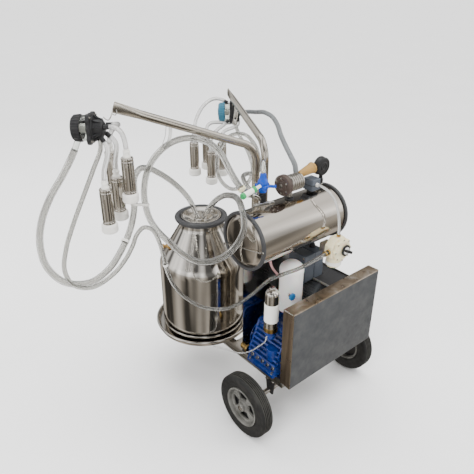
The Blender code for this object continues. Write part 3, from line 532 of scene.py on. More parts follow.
# Each hose: its material, its diameter and the points that it is led through, as in the CAD source
HOSES = {
    "milk_hose_left": (VINYL, 0.021, (
        (-0.6718, 0.3684, 1.1142), (-0.684, 0.376, 1.088), (-0.718, 0.370, 1.046), (-0.772, 0.358, 0.990),
        (-0.811, 0.350, 0.930), (-0.836, 0.330, 0.866), (-0.838, 0.299, 0.800), (-0.806, 0.258, 0.754),
        (-0.743, 0.226, 0.743), (-0.676, 0.226, 0.765), (-0.619, 0.246, 0.801), (-0.567, 0.275, 0.843),
        (-0.527, 0.308, 0.891), (-0.505, 0.335, 0.942), (-0.485, 0.362, 0.983), (-0.448, 0.385, 1.000),
        (-0.402, 0.402, 0.985), (-0.356, 0.418, 0.954), (-0.304, 0.440, 0.913), (-0.256, 0.462, 0.869),
        (-0.218, 0.477, 0.829), (-0.192, 0.474, 0.790), (-0.1862, 0.4577, 0.7628),
    )),
    "pulse_hose_left": (VINYL, 0.014, (
        (-0.6105, 0.317, 1.1458), (-0.613, 0.316, 1.118), (-0.650, 0.304, 1.064), (-0.694, 0.296, 0.995),
        (-0.740, 0.285, 0.925), (-0.782, 0.270, 0.855), (-0.805, 0.248, 0.800), (-0.797, 0.220, 0.760),
        (-0.750, 0.198, 0.742), (-0.680, 0.192, 0.763), (-0.628, 0.203, 0.792), (-0.594, 0.213, 0.823),
        (-0.573, 0.219, 0.853), (-0.545, 0.221, 0.870), (-0.517, 0.217, 0.856), (-0.501, 0.209, 0.815),
        (-0.486, 0.211, 0.750), (-0.469, 0.224, 0.685), (-0.440, 0.238, 0.612), (-0.393, 0.240, 0.534),
        (-0.334, 0.203, 0.480), (-0.276, 0.149, 0.476), (-0.243, 0.102, 0.513), (-0.214, 0.055, 0.570),
        (-0.186, 0.010, 0.633), (-0.155, -0.030, 0.664), (-0.112, -0.058, 0.682), (-0.065, -0.072, 0.697),
        (-0.018, -0.080, 0.709), (0.0126, -0.080, 0.712),
    )),
    "milk_hose_right": (VINYL, 0.016, (
        (0.1628, 0.6096, 1.0245), (0.1628, 0.6060, 0.994), (0.164, 0.569, 0.945), (0.152, 0.506, 0.895),
        (0.124, 0.452, 0.852), (0.082, 0.424, 0.818), (0.034, 0.414, 0.803), (-0.012, 0.433, 0.802),
        (-0.034, 0.472, 0.835), (-0.022, 0.510, 0.895), (0.016, 0.525, 0.958), (0.066, 0.517, 0.996),
        (0.108, 0.485, 0.996), (0.118, 0.435, 0.964), (0.090, 0.377, 0.926), (0.036, 0.315, 0.912),
        (-0.030, 0.262, 0.922), (-0.100, 0.232, 0.944), (-0.158, 0.188, 0.958), (-0.192, 0.130, 0.952),
        (-0.198, 0.090, 0.940), (-0.1955, 0.069, 0.938),
    )),
    "pulse_hose_right": (GREY_HOSE, 0.018, (
        (0.187, 0.5895, 1.059), (0.207, 0.573, 1.060), (0.211, 0.539, 1.064), (0.191, 0.487, 1.077),
        (0.166, 0.435, 1.089), (0.138, 0.360, 1.091), (0.097, 0.285, 1.079), (0.047, 0.215, 1.063),
        (0.003, 0.145, 1.047), (-0.025, 0.093, 1.031), (-0.0365, 0.059, 1.008), (-0.0370, 0.0525, 0.9845),
    )),
    "vacuum_hose": (VINYL, 0.021, (
        (-0.1709, 0.3855, 0.7622), (-0.1695, 0.366, 0.788), (-0.169, 0.330, 0.827), (-0.180, 0.268, 0.868),
        (-0.201, 0.207, 0.894), (-0.224, 0.154, 0.912), (-0.254, 0.098, 0.924), (-0.283, 0.051, 0.924),
        (-0.304, 0.015, 0.909), (-0.313, 0.003, 0.879), (-0.333, 0.001, 0.843), (-0.368, 0.012, 0.804),
        (-0.407, 0.038, 0.778), (-0.437, 0.082, 0.767), (-0.457, 0.135, 0.777), (-0.466, 0.200, 0.799),
        (-0.474, 0.252, 0.822), (-0.480, 0.288, 0.853), (-0.482, 0.308, 0.897), (-0.476, 0.320, 0.951),
        (-0.456, 0.325, 1.008), (-0.423, 0.317, 1.058), (-0.378, 0.292, 1.098), (-0.338, 0.245, 1.117),
        (-0.303, 0.195, 1.108), (-0.286, 0.150, 1.078), (-0.284, 0.108, 1.034), (-0.279, 0.078, 0.999),
        (-0.265, 0.065, 0.973), (-0.246, 0.062, 0.956), (-0.226, 0.061, 0.948),
    )),
    "link_tube": (MILKY, 0.010, (
        (0.048, 0.0272, 0.925), (0.048, 0.004, 0.925), (0.050, -0.030, 0.914), (0.055, -0.057, 0.884),
        (0.058, -0.072, 0.842), (0.060, -0.079, 0.798), (0.060, -0.080, 0.7590),
    )),
}
# The hoses that end on the bucket's lid: where they start to follow it, and where they move with it wholly
LID_HOSES = {
    "milk_hose_left": ((-0.304, 0.440, 0.913), (-0.190, 0.472, 0.785)),
    "vacuum_hose": ((-0.172, 0.310, 0.842), (-0.170, 0.378, 0.772)),
}
BORE_SHARE = 0.64


def lay_hose(name, material, diameter, points, stands_for=(), with_bore=True, body="machine"):
    """A free hose along points, with the wall of its bore showing through."""
    hose = sweep(name, points, (diameter / 2, diameter / 2), material, 28)
    pieces = []
    if with_bore:
        inner = BORE_SHARE * diameter / 2
        pieces.append(sweep(f"{name}_bore", points, (inner, inner), material, 20))
        pieces[0].data.flip_normals()
    for piece in [hose, *pieces]:
        keep(piece, body, stands_for if piece is hose else ())
    return [hose, *pieces]


def hoses():
    """The long hoses. Those that end on the lid ride on no body, with their place baked into their shape."""
    for name, (material, diameter, route) in HOSES.items():
        body = None if name in LID_HOSES else "machine"
        pieces = lay_hose(name, material, diameter, smooth_points(route, 8), (name,), material is VINYL, body)
        if name in LID_HOSES:
            for piece in pieces:
                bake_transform(piece)


# ---------------------------------------------------------------- running gear


def tyre(label, outward):
    """A grooved tyre, with pale dust lines on its tread."""
    low, high = span(f"tyre_{label}")
    centre = middle(f"tyre_{label}")
    radius, half = (high.z - low.z) / 2, (high.x - low.x) / 2
    shoulder, seat, groove, deep = 0.009, 0.0785, 0.0016, 0.004
    side = [(seat, -half + 0.007), (seat + 0.002, -half + 0.0025), (seat + 0.006, -half + 0.001),
            (0.092, -half + 0.0022), (0.104, -half + 0.0018), (0.1075, -half + 0.0004),
            (0.111, -half + 0.0004)]
    turns = [math.radians(15 * i) for i in range(7)]
    edge = side + [(radius - shoulder + shoulder * math.sin(t), -half + shoulder * (1 - math.cos(t)))
                   for t in turns]
    tread = []
    for place in (-0.0108, -0.0036, 0.0036, 0.0108):
        tread += [(radius, place - groove), (radius - deep, place - 0.6 * groove),
                  (radius - deep, place + 0.6 * groove), (radius, place + groove)]
    profile = [*edge, *tread, *((r, -a) for r, a in reversed(edge))]
    keep(lathe(f"tyre_{label}_tread", profile, TYRE, centre, outward, 128, True), f"wheel_{label}",
         (f"tyre_{label}",))
    for i, place in enumerate((-0.0145, -0.0072, 0.0, 0.0072, 0.0145)):
        line = [(radius - 0.0015, place - 0.0011), (radius + 0.0002, place - 0.0009),
                (radius + 0.0002, place + 0.0009), (radius - 0.0015, place + 0.0011)]
        keep(lathe(f"tyre_{label}_line_{i}", line, TREAD_LINE, centre, outward, 128, True), f"wheel_{label}")


def hub(label, outward):
    """A moulded wheel centre with four windows, and a black disc behind them as painted shade."""
    centre = middle(f"hub_{label}")
    body = f"wheel_{label}"
    lathed(f"hub_{label}_rim", [
        (0.0695, -0.022), (0.0776, -0.024, 0.002), (0.0776, 0.02, 0.001), (0.08, 0.0255, 0.002),
        (0.0765, 0.027, 0.002), (0.072, 0.024, 0.002), (0.069, 0.01, 0.004),
    ], HUB, centre, outward, 96, True, body, (f"hub_{label}",))
    loops = [arc(0.0715, 0, 360, 63)[:-1]]
    for i in range(4):
        turn = 8 + 90 * i
        loops.append(arc(0.0605, turn - 27, turn + 27, 10) + arc(0.0285, turn + 30, turn - 30, 6))
    # Painted shade: a black disc behind the windows stands for the dark inside of the wheel seen through
    # them.
    back = [(0.016, -0.004), (0.074, -0.004), (0.074, -0.002), (0.016, -0.002)]
    keep(lathe(f"hub_{label}_back", back, BLACK, centre, outward, 96, True), body)
    web = plate(f"hub_{label}_web", loops, 0.009, HUB, centre + outward * 0.008, outward, 0.0012)
    keep(web, body)
    lathed(f"hub_{label}_boss", [
        (0.0108, -0.0275), (0.017, -0.0275, 0.002), (0.02, 0.006, 0.004), (0.0245, 0.0115, 0.003),
        (0.0245, 0.0145, 0.001), (0.018, 0.019, 0.002), (0.0165, 0.0285, 0.002), (0.0108, 0.0285),
    ], HUB, centre, outward, 64, True, body)
    ribs = []
    for i in range(4):
        along = sideways(outward, math.radians(53 + 90 * i))
        start, end = centre + outward * 0.0125 + along * 0.022, centre + outward * 0.0125 + along * 0.0705
        ribs.append(sweep(f"hub_{label}_rib_{i}", [start, start.lerp(end, 0.5), end],
                          (0.0042, 0.0024), HUB, 12, outward))
    keep(join(f"hub_{label}_ribs", ribs), body)


def running_gear():
    """Wheels, axle caps and bracket bolts."""
    paint(BRIGHT, "axle")
    paint(DARK_PAINT, "axle_bracket_near", "axle_bracket_far")
    for label, outward in (("near", -X), ("far", X)):
        tyre(label, outward)
        hub(label, outward)
        low, high = span("axle")
        end = low if label == "near" else high
        lathed(f"axle_cap_{label}", [
            (0.0, 0.001), (0.006, 0.0008, 0.002), (0.0098, -0.0015, 0.001), (0.0112, -0.0035, 0.001),
            (0.0112, -0.0075), (0.0, -0.0075),
        ], BRIGHT, (end.x, 0.0, middle("axle").z), outward, 48)
        plate_low, plate_high = span(f"axle_bracket_{label}")
        face = plate_low.x if label == "near" else plate_high.x
        heads = [(face, -0.016, 0.176), (face, 0.016, 0.176)]
        bolts(f"bracket_bolts_{label}", heads, outward, 0.0055, 0.005, 0.0004)


def chassis():
    """The rails, deck and stand, whose CAD shapes stay, with plugs and foot plates."""
    paint(BAR_STEEL, "rail_near", "rail_far", "rail_middle", "cross_rear", "deck_plate")
    paint(STEEL, "tank_panel")
    paint(TUBE_STEEL, "stand_leg")
    plugs = []
    for node in ("rail_near", "rail_far", "rail_middle"):
        low, high = span(node)
        plugs.append(block(f"{node}_plug", (low.x + 0.001, high.y + GAP, low.z + 0.001),
                           (high.x - 0.001, high.y + 0.004, high.z - 0.001), BLACK))
    keep(join("rail_plugs", plugs), bevel=0.0012)
    low, high = span("stand_leg")
    feet = [block(f"leg_foot_{i}", (x - 0.016, low.y - 0.001, 0.1855), (x + 0.016, high.y + 0.001, 0.1892),
                  BRIGHT) for i, x in enumerate((low.x + 0.0125, high.x - 0.0125))]
    keep(join("leg_plates", feet), bevel=0.0008)


# ---------------------------------------------------------------- bucket


def tray():
    """The round tray with a rolled rim."""
    low, high = span("bucket_tray")
    centre = middle("bucket_tray")
    lip = 0.005
    rim, bottom, top = (high.x - low.x) / 2 - lip, low.z, high.z - lip
    wall = 0.0015
    roll = arc(lip, 165, -60, 14, (rim, top))
    inside = eased([(0.0, bottom + wall), (rim - 0.006, bottom + wall, 0.012), (rim - lip + 0.001, top)], 8)
    under = eased([roll[-1], (rim - 0.0015, top - 0.008, 0.003), (rim - 0.003, bottom, 0.012),
                   (0.0, bottom)], 8)
    profile = [*inside, *roll, *under[1:]]
    keep(lathe("tray_dish", profile, STEEL, (centre.x, centre.y, 0.0), Z, 128), stands_for=("bucket_tray",))
    for i, radius in enumerate((0.095, 0.15)):
        bead = [(radius - 0.004, bottom + wall), (radius - 0.002, bottom + wall + 0.0014),
                (radius + 0.002, bottom + wall + 0.0014), (radius + 0.004, bottom + wall)]
        keep(lathe(f"tray_bead_{i}", bead, STEEL, (centre.x, centre.y, 0.0), Z, 96, True))


def bucket():
    """The milk bucket, open at its mouth, with a seam and two lugs."""
    low, high = span("bucket")
    centre = middle("bucket")
    place = (centre.x, centre.y, 0.0)
    radius, base, mouth = (high.x - low.x) / 2, low.z, high.z
    shoulder, neck, wall = 0.541, 0.086, 0.0015
    outer = eased([(0.0, base), (radius - 0.001, base, 0.018), (radius, shoulder, 0.024),
                   (neck + 0.003, mouth - 0.024, 0.02), (neck, mouth - 0.004, 0.002),
                   (neck + 0.004, mouth - 0.003), (neck + 0.004, mouth)], 10)
    inner = eased([(neck - wall, mouth), (neck - wall, mouth - 0.022, 0.018),
                   (radius - wall, shoulder - 0.002, 0.024), (radius - wall, base + 0.002, 0.016),
                   (0.0, base + 0.002)], 10)
    keep(lathe("bucket_shell", outer + inner, STEEL, place, Z, 144), stands_for=("bucket",))
    z = base + 0.016
    seam = [(radius - 0.0005, z - 0.003), (radius + 0.0008, z - 0.0012), (radius + 0.0008, z + 0.0012),
            (radius - 0.0005, z + 0.003)]
    keep(lathe("bucket_seam", seam, STEEL, place, Z, 128, True))
    for label, side in (("left", 1.0), ("right", -1.0)):
        outward = Vector((-0.917 * side, 0.398 * side, 0.0))
        foot = centre.copy()
        foot.z = 0.61
        lathed(f"bucket_lug_{label}", [
            (0.0, 0.131), (0.012, 0.131), (0.012, 0.143, 0.003), (0.0065, 0.147, 0.002), (0.0065, 0.156),
            (0.011, 0.157, 0.002), (0.011, 0.162, 0.002), (0.0, 0.162),
        ], AMBER if label == "left" else BRASS, foot, outward, 48)


def lid():
    """The lid's rubber seal, its dish and the two tilted hose nozzles."""
    low, high = span("lid_gasket")
    centre = middle("lid_gasket")
    place = (centre.x, centre.y, 0.0)
    outer = (high.x - low.x) / 2
    lathed("lid_seal", [
        (0.0805, low.z + 0.0055), (0.084, low.z, 0.003), (outer - 0.0035, low.z, 0.003),
        (outer, low.z + 0.006, 0.003), (outer + 0.0005, high.z - 0.005, 0.004),
        (outer - 0.006, high.z, 0.004), (0.0875, high.z, 0.002), (0.084, high.z - 0.005, 0.002),
    ], GASKET, place, Z, 128, True, "lid", ("lid_gasket",))
    top = high.z
    lathed("lid_dish", [
        (0.0, top - 0.0075), (0.018, top - 0.0075, 0.004), (0.022, top - 0.0095, 0.004),
        (0.048, top - 0.009, 0.008), (0.066, top - 0.003, 0.006), (0.074, top - 0.0005, 0.004),
        (0.0812, top - 0.001, 0.002), (0.0812, top - 0.006), (0.07, top - 0.0075, 0.004),
        (0.05, top - 0.012, 0.006), (0.0, top - 0.012),
    ], STEEL, place, Z, 128, body="lid", stands_for=("bucket_lid",), easing=6)
    nozzles = {"milk": ((-0.184, 0.428), (-0.1862, 0.4585, 0.7615)),
               "vacuum": ((-0.176, 0.414), (-0.1709, 0.385, 0.7628))}
    for name, (foot, tip) in nozzles.items():
        start = Vector((*foot, top - 0.0105))
        reach = (Vector(tip) - start).length
        lathed(f"{name}_nozzle", [
            (0.0, 0.0), (0.0088, 0.0), (0.0088, 0.016, 0.001), (0.0112, 0.017, 0.001),
            (0.0112, 0.021, 0.001), (0.009, 0.022, 0.001), (0.009, reach - 0.007, 0.001),
            (0.0103, reach - 0.006, 0.001), (0.0098, reach, 0.001), (0.0, reach),
        ], BRIGHT, start, Vector(tip) - start, 48, body="lid")
    lathed("nozzle_seat", [
        (0.0, top - 0.01), (0.024, top - 0.01), (0.024, top - 0.006, 0.002), (0.02, top - 0.005, 0.001),
        (0.0, top - 0.005),
    ], BRIGHT, (-0.18, 0.421, 0.0), Z, 64, body="lid")


# ---------------------------------------------------------------- drive


def guard():
    """A folded sheet box: the face is coated dark, and the flanges are bare, heat-tinted steel."""
    low, high = span("belt_guard")
    bm = box_mesh(low, high)
    bmesh.ops.delete(bm, geom=[f for f in bm.faces if f.normal.y > 0.9], context="FACES_ONLY")
    folds = [e for e in bm.edges if all(v.co.y < low.y + 1e-5 for v in e.verts)]
    bmesh.ops.bevel(bm, geom=folds, offset=0.0035, segments=5, profile=0.5, affect="EDGES")
    bmesh.ops.recalc_face_normals(bm, faces=bm.faces)
    bmesh.ops.solidify(bm, geom=bm.faces, thickness=0.002)
    shell = thing("guard_shell", bm, SHEET)
    shell.data.materials.append(TINTED)
    for face in shell.data.polygons:
        face.material_index = 0 if abs(face.normal.y) > 0.9 and face.center.y < low.y + 0.003 else 1
    keep(shell, stands_for=("belt_guard",), bevel=0.0004)
    welds = []
    for i, x in enumerate((low.x + 0.0012, high.x - 0.0012)):
        for k, z in enumerate((low.z + 0.0012, high.z - 0.0012)):
            points = [(x, low.y + 0.005 + 0.004 * n, z + 0.0002 * (n % 2)) for n in range(11)]
            welds.append(sweep(f"weld_{i}{k}", points, (0.0016, 0.0016), BRIGHT, 10))
    keep(join("guard_welds", welds))
    tabs = []
    for i, x in enumerate((low.x + 0.055, 0.5 * (low.x + high.x), high.x - 0.055)):
        tabs.append(block(f"guard_tab_{i}", (x - 0.014, high.y - 0.012, low.z + 0.0025),
                          (x + 0.014, high.y + 0.01, low.z + 0.005), TINTED))
    keep(join("guard_tabs", tabs), bevel=0.0006)


def pulley(node, body, radius, hole_count):
    """A grooved pulley with its shaft, in the plane of the belt."""
    low, high = span(node)
    centre = middle(node)
    groove, width = 0.01, 0.012
    mid = -0.1
    sheave = eased([(0.016, mid - 0.013), (0.024, mid - 0.015, 0.001), (0.026, mid - 0.0045, 0.003),
                    (radius - groove - 0.008, mid - 0.0045, 0.004),
                    (radius - groove - 0.004, mid - 0.01, 0.002), (radius, mid - 0.01, 0.001),
                    (radius, mid - width / 2, 0.0004), (radius - groove, mid - width / 2 + 0.003),
                    (radius - groove, mid + width / 2 - 0.003), (radius, mid + width / 2, 0.0004),
                    (radius, mid + 0.01, 0.001), (radius - groove - 0.004, mid + 0.01, 0.002),
                    (radius - groove - 0.008, mid + 0.0045, 0.004), (0.026, mid + 0.0045, 0.003),
                    (0.024, mid + 0.013, 0.001), (0.016, mid + 0.013)])
    place = (centre.x, 0.0, centre.z)
    keep(lathe(f"{node}_sheave", sheave, BAR_STEEL, place, Y, 96, True), body, (node,))
    if high.y > 0.0:
        shaft = [(0.0, low.y + 0.001), (0.0112, low.y + 0.002), (0.0112, -0.02), (0.0, -0.02)]
    else:
        shaft = eased([(0.0, low.y + 0.001), (0.0105, low.y + 0.001, 0.001), (0.0115, low.y + 0.003),
                       (0.0115, high.y - 0.002, 0.001), (0.0, high.y - 0.001)])
    keep(lathe(f"{node}_shaft", shaft, BRIGHT, place, Y, 48), body)
    screws = ring_of(hole_count, (centre.x, mid - 0.0045, centre.z), -Y, (radius + 0.01) / 2)
    bolts(f"{node}_screws", screws, -Y, 0.0035, 0.003, 0.0003, body)


def belt_drive():
    """What the belt guard hides."""
    pulley("pump_rotor", "pump_drive", 0.072, 5)
    pulley("motor_rotor", "motor_drive", 0.048, 3)
    paint(GASKET, "drive_belt")


def pump():
    """The vane pump: a ribbed blue casting with bolted end covers and a brass outlet."""
    low, high = span("pump_body")
    left, right, bottom, top = low.x + 0.004, high.x, low.z, high.z
    # The left side leans inwards as it rises, in big ribs. The right side has small ones.
    fins = 6
    low_rib, high_rib = Vector((left + 0.001, bottom + 0.05)), Vector((left + 0.046, top - 0.016))
    slope = high_rib - low_rib
    inwards = Vector((slope.y, -slope.x)).normalized()
    comb = [(right - 0.004, bottom), (right, bottom + 0.004)]
    pitch = (top - bottom - 0.062) / 9
    for i in range(9):
        lower = bottom + 0.046 + i * pitch
        comb += [(right, lower), (right, lower + 0.46 * pitch), (right - 0.012, lower + 0.56 * pitch),
                 (right - 0.012, lower + 0.88 * pitch)]
    comb += [(right - 0.006, top - 0.006), (right - 0.018, top), (high_rib.x + 0.016, top),
             (high_rib.x + 0.002, top - 0.006)]
    for i in reversed(range(fins)):
        start = low_rib + slope * (i / fins)
        step = slope / fins
        comb += [tuple(start + step * 0.98 + inwards * 0.015), tuple(start + step * 0.52 + inwards * 0.015),
                 tuple(start + step * 0.42), tuple(start + step * 0.08)]
    comb += [(left + 0.012, bottom + 0.044), (left + 0.01, bottom + 0.016), (left - 0.004, bottom + 0.012),
             (left - 0.004, bottom)]
    casting = standing_plate("pump_casting", comb, high.y - low.y, BLUE,
                             (0.0, (low.y + high.y) / 2, 0.0), 0.0012)
    keep(casting, stands_for=("pump_body",))
    lathed("pump_boss", [
        (0.0, 0.34), (0.024, 0.34, 0.002), (0.024, 0.29), (0.0, 0.29),
    ], BLUE, (-0.1745, -0.01, 0.0), Z, 48)
    low, high = span("pump_cover")
    edge = [(low.x + 0.006, low.z + 0.002), (high.x, low.z + 0.002), (high.x, high.z - 0.004),
            (high.x - 0.006, high.z), (low.x + 0.064, high.z), (low.x + 0.056, high.z - 0.006),
            (low.x + 0.012, low.z + 0.055)]
    cover = standing_plate("pump_end_cover", edge, high.y - low.y - 0.004, BLUE,
                           (0.0, (low.y + high.y) / 2 - 0.002, 0.0), 0.002)
    keep(cover, stands_for=("pump_cover",))
    centre = middle("pump_cover")
    lathed("pump_dome", [
        (0.062, 0.0), (0.062, 0.0035, 0.002), (0.05, 0.0045, 0.002), (0.03, 0.0048, 0.002), (0.0, 0.0048),
    ], BLUE, (centre.x, high.y - 0.004, centre.z), Y, 72)
    spots = ring_of(8, (centre.x, high.y - 0.0035, centre.z), Y, 0.054, 0.39)
    bolts("pump_bolts_back", spots, Y, 0.0045, 0.0035, 0.0004)
    front = span("pump_body")[0].y
    flange = eased([(0.02, 0.0), (0.02, 0.01, 0.002), (0.03, 0.01, 0.003), (0.034, 0.005, 0.003),
                    (0.066, 0.005, 0.002), (0.066, 0.0)])
    axis = middle("pump_rotor")
    keep(lathe("pump_front_flange", flange, BLUE, (axis.x, front, axis.z), -Y, 72, True))
    spots = ring_of(8, (axis.x, front - 0.005, axis.z), -Y, 0.057, 0.39)
    bolts("pump_bolts_front", spots, -Y, 0.0045, 0.004, 0.0004)
    side = [(left + 0.01, y, 0.262) for y in (-0.03, -0.002, 0.026, 0.054, 0.082)]
    bolts("pump_bolts_side", side, -X, 0.0058, 0.006, 0.0004)
    foot = [(left + 0.003, y, bottom + 0.0125) for y in (-0.033, 0.088)]
    bolts("pump_bolts_foot", foot, Z, 0.0052, 0.006, 0.0004)
    lathed("pump_outlet", [
        (0.0, 0.04), (0.0125, 0.04), (0.0155, 0.036, 0.002), (0.0155, 0.014, 0.003), (0.019, 0.01, 0.002),
        (0.019, 0.0), (0.0, 0.0),
    ], BRASS, (-0.18, high.y, 0.258), Y, 48)


def oil_system():
    """The silencer on the pump, the oil bottle and its tap."""
    low, high = span("exhaust_silencer")
    centre = middle("exhaust_silencer")
    place = (centre.x, centre.y, 0.0)
    radius = (high.x - low.x) / 2
    lathed("silencer_drum", [
        (0.0, 0.426), (radius - 0.004, 0.426, 0.002), (radius - 0.0006, 0.43, 0.002),
        (radius - 0.0006, 0.584, 0.003), (radius - 0.003, 0.594, 0.006), (0.014, 0.603, 0.006),
        (0.0, 0.605),
    ], CUP_STEEL, place, Z, 72, stands_for=("exhaust_silencer",))
    sleeve = [(radius - 0.0005, 0.472), (radius, 0.4722), (radius, 0.548), (radius - 0.0005, 0.5482)]
    keep(lathe("silencer_sleeve", sleeve, WHITE, place, Z, 72, True))
    lathed("silencer_band", [
        (radius - 0.001, 0.428), (radius + 0.0002, 0.429, 0.001), (radius + 0.0002, 0.446, 0.001),
        (radius - 0.001, 0.447),
    ], BRASS, place, Z, 72, True)
    lathed("silencer_socket", [
        (0.0, low.z), (0.019, low.z), (0.019, 0.405, 0.002), (0.022, 0.408, 0.002), (0.022, 0.4265, 0.001),
        (0.0, 0.4265),
    ], BLUE, place, Z, 64)
    lathed("silencer_cap", [
        (0.0, 0.613), (0.0095, 0.613, 0.002), (0.0115, 0.609, 0.002), (0.0115, 0.603), (0.0, 0.603),
    ], BRIGHT, place, Z, 64)
    low, high = span("oil_bottle")
    centre = middle("oil_bottle")
    place = (centre.x, centre.y, 0.0)
    radius = (high.x - low.x) / 2
    lathed("bottle", [
        (0.0, 0.4615), (0.036, 0.4615, 0.006), (radius, 0.468, 0.005), (radius, 0.5, 0.002),
        (radius - 0.0012, 0.502, 0.001), (radius - 0.0012, 0.626, 0.001), (radius, 0.628, 0.002),
        (radius, 0.646, 0.022), (0.024, 0.667, 0.02), (0.0, 0.6705),
    ], BOTTLE, place, Z, 96, stands_for=("oil_bottle",), easing=10)
    lathed("bottle_stem", [
        (0.0, low.z), (0.014, low.z, 0.001), (0.016, low.z + 0.004), (0.016, 0.44, 0.002),
        (0.0205, 0.4435, 0.001), (0.0205, 0.459, 0.002), (0.0, 0.4612),
    ], BRASS, place, Z, 48)
    centre = middle("oil_tap")
    low, high = span("oil_tap")
    lobes = outline(72, lambda angle: 0.0129 + 0.0011 * math.cos(9 * angle))
    grip = plate("oil_tap_grip", [lobes], 0.01, TAP_BLUE, (centre.x, low.y + 0.0055, centre.z), -Y, 0.0014)
    keep(grip, "tap", ("oil_tap",))
    lathed("oil_tap_stem", [
        (0.0, 0.0), (0.006, 0.0, 0.001), (0.0065, 0.009), (0.0, 0.009),
    ], BRASS, (centre.x, low.y + 0.0095, centre.z), Y, 32, body="tap")
    nozzle = [(centre.x, high.y - 0.001, centre.z), (centre.x + 0.006, high.y + 0.01, centre.z - 0.004),
              (centre.x + 0.016, high.y + 0.02, centre.z - 0.005)]
    keep(pipe("oil_feed", nozzle, 0.0045, BRIGHT, 6, 20))


def motor():
    """The finned motor with black discs of painted shade for its vents, its switch box and the dark stay
    behind the guard.
    """
    low, high = span("motor_body")
    centre = middle("motor_body")
    radius = (high.z - low.z) / 2
    place = (centre.x, 0.0, centre.z)
    fins = []
    count = 40
    for i in range(count):
        angle, half = 2 * math.pi * i / count, math.pi / count
        for share, reach in ((-0.95, radius - 0.007), (-0.42, radius - 0.007), (-0.3, radius - 0.0005),
                             (0.3, radius - 0.0005), (0.42, radius - 0.007)):
            turn = angle + share * half
            fins.append((reach * math.cos(turn), reach * math.sin(turn)))
    front, back = low.y + 0.024, high.y - 0.052
    core = plate("motor_ribs", [fins], back - front, MOTOR_GREY, (centre.x, (front + back) / 2, centre.z),
                 Y, 0.0004)
    keep(core, stands_for=("motor_body",))
    lathed("motor_front_bell", [
        (0.014, low.y), (0.02, low.y, 0.001), (0.024, low.y + 0.005, 0.003),
        (radius - 0.016, low.y + 0.006, 0.006), (radius - 0.001, low.y + 0.014, 0.005),
        (radius - 0.001, low.y + 0.024), (0.014, low.y + 0.024),
    ], MOTOR_GREY, place, Y, 96, True)
    lathed("motor_cowl", [
        (0.0, high.y - 0.054), (radius - 0.0005, high.y - 0.054), (radius, high.y - 0.052),
        (radius, high.y - 0.01, 0.008), (radius - 0.014, high.y, 0.006), (0.0, high.y),
    ], MOTOR_GREY, place, Y, 96)
    # Painted shade: black discs on the fan cowl stand for the dark inside of its vent holes.
    vent_shades = []
    for ring, count in ((0.022, 10), (0.036, 16), (0.05, 22)):
        for spot in ring_of(count, (centre.x, high.y, centre.z), Y, ring):
            vent_shades.append(lathe("vent", [(0.0, 0.0006), (0.0034, 0.0006), (0.0036, -0.001), (0.0, -0.001)],
                               BLACK, spot, Y, 16))
    keep(join("motor_vent_shades", vent_shades))
    spots = ring_of(4, (centre.x, low.y + 0.0085, centre.z), -Y, radius - 0.012, math.pi / 4)
    bolts("motor_bolts", spots, -Y, 0.0045, 0.004, 0.0004)
    paint(DARK_PAINT, "motor_stand")
    low, high = span("switch_box")
    seam = 0.5 * (low.x + high.x)
    base = block("switch_box_base", (seam + 0.0006, low.y, low.z), (high.x, high.y, high.z), GREY_BOX)
    keep(base, stands_for=("switch_box",), bevel=0.004)
    cover = block("switch_box_cover", (low.x, low.y - 0.0005, low.z + 0.0005),
                  (seam - 0.0006, high.y, high.z), GREY_BOX)
    keep(cover, bevel=0.004)
    screws = [(low.x, y, z) for y in (low.y + 0.01, high.y - 0.01) for z in (low.z + 0.01, high.z - 0.01)]
    bolts("switch_box_screws", screws, -X, 0.0028, 0.0015, 0.0003)
    lathed("switch_box_gland", [
        (0.0, 0.0), (0.013, 0.0), (0.013, 0.004, 0.001), (0.01, 0.006, 0.001), (0.01, 0.014, 0.002),
        (0.0, 0.014),
    ], BLACK, (high.x - 0.02, middle("switch_box").y, high.z), Z, 32)
    stay = block("guard_stay", (0.04, -0.076, 0.55), (0.155, 0.002, 0.553), DARK_PAINT)
    wing = block("guard_stay_wing", (0.0985, 0.002, 0.55), (0.155, 0.08, 0.553), DARK_PAINT)
    rib = block("guard_stay_rib", (0.153, -0.076, 0.553), (0.1555, 0.08, 0.56), BAR_STEEL)
    strut = block("guard_strut", (0.035, -0.077, 0.5532), (0.043, 0.002, 0.558), BAR_STEEL)
    for piece in (stay, wing, rib, strut):
        keep(piece, bevel=0.0006)


# ---------------------------------------------------------------- vacuum tank and its fittings


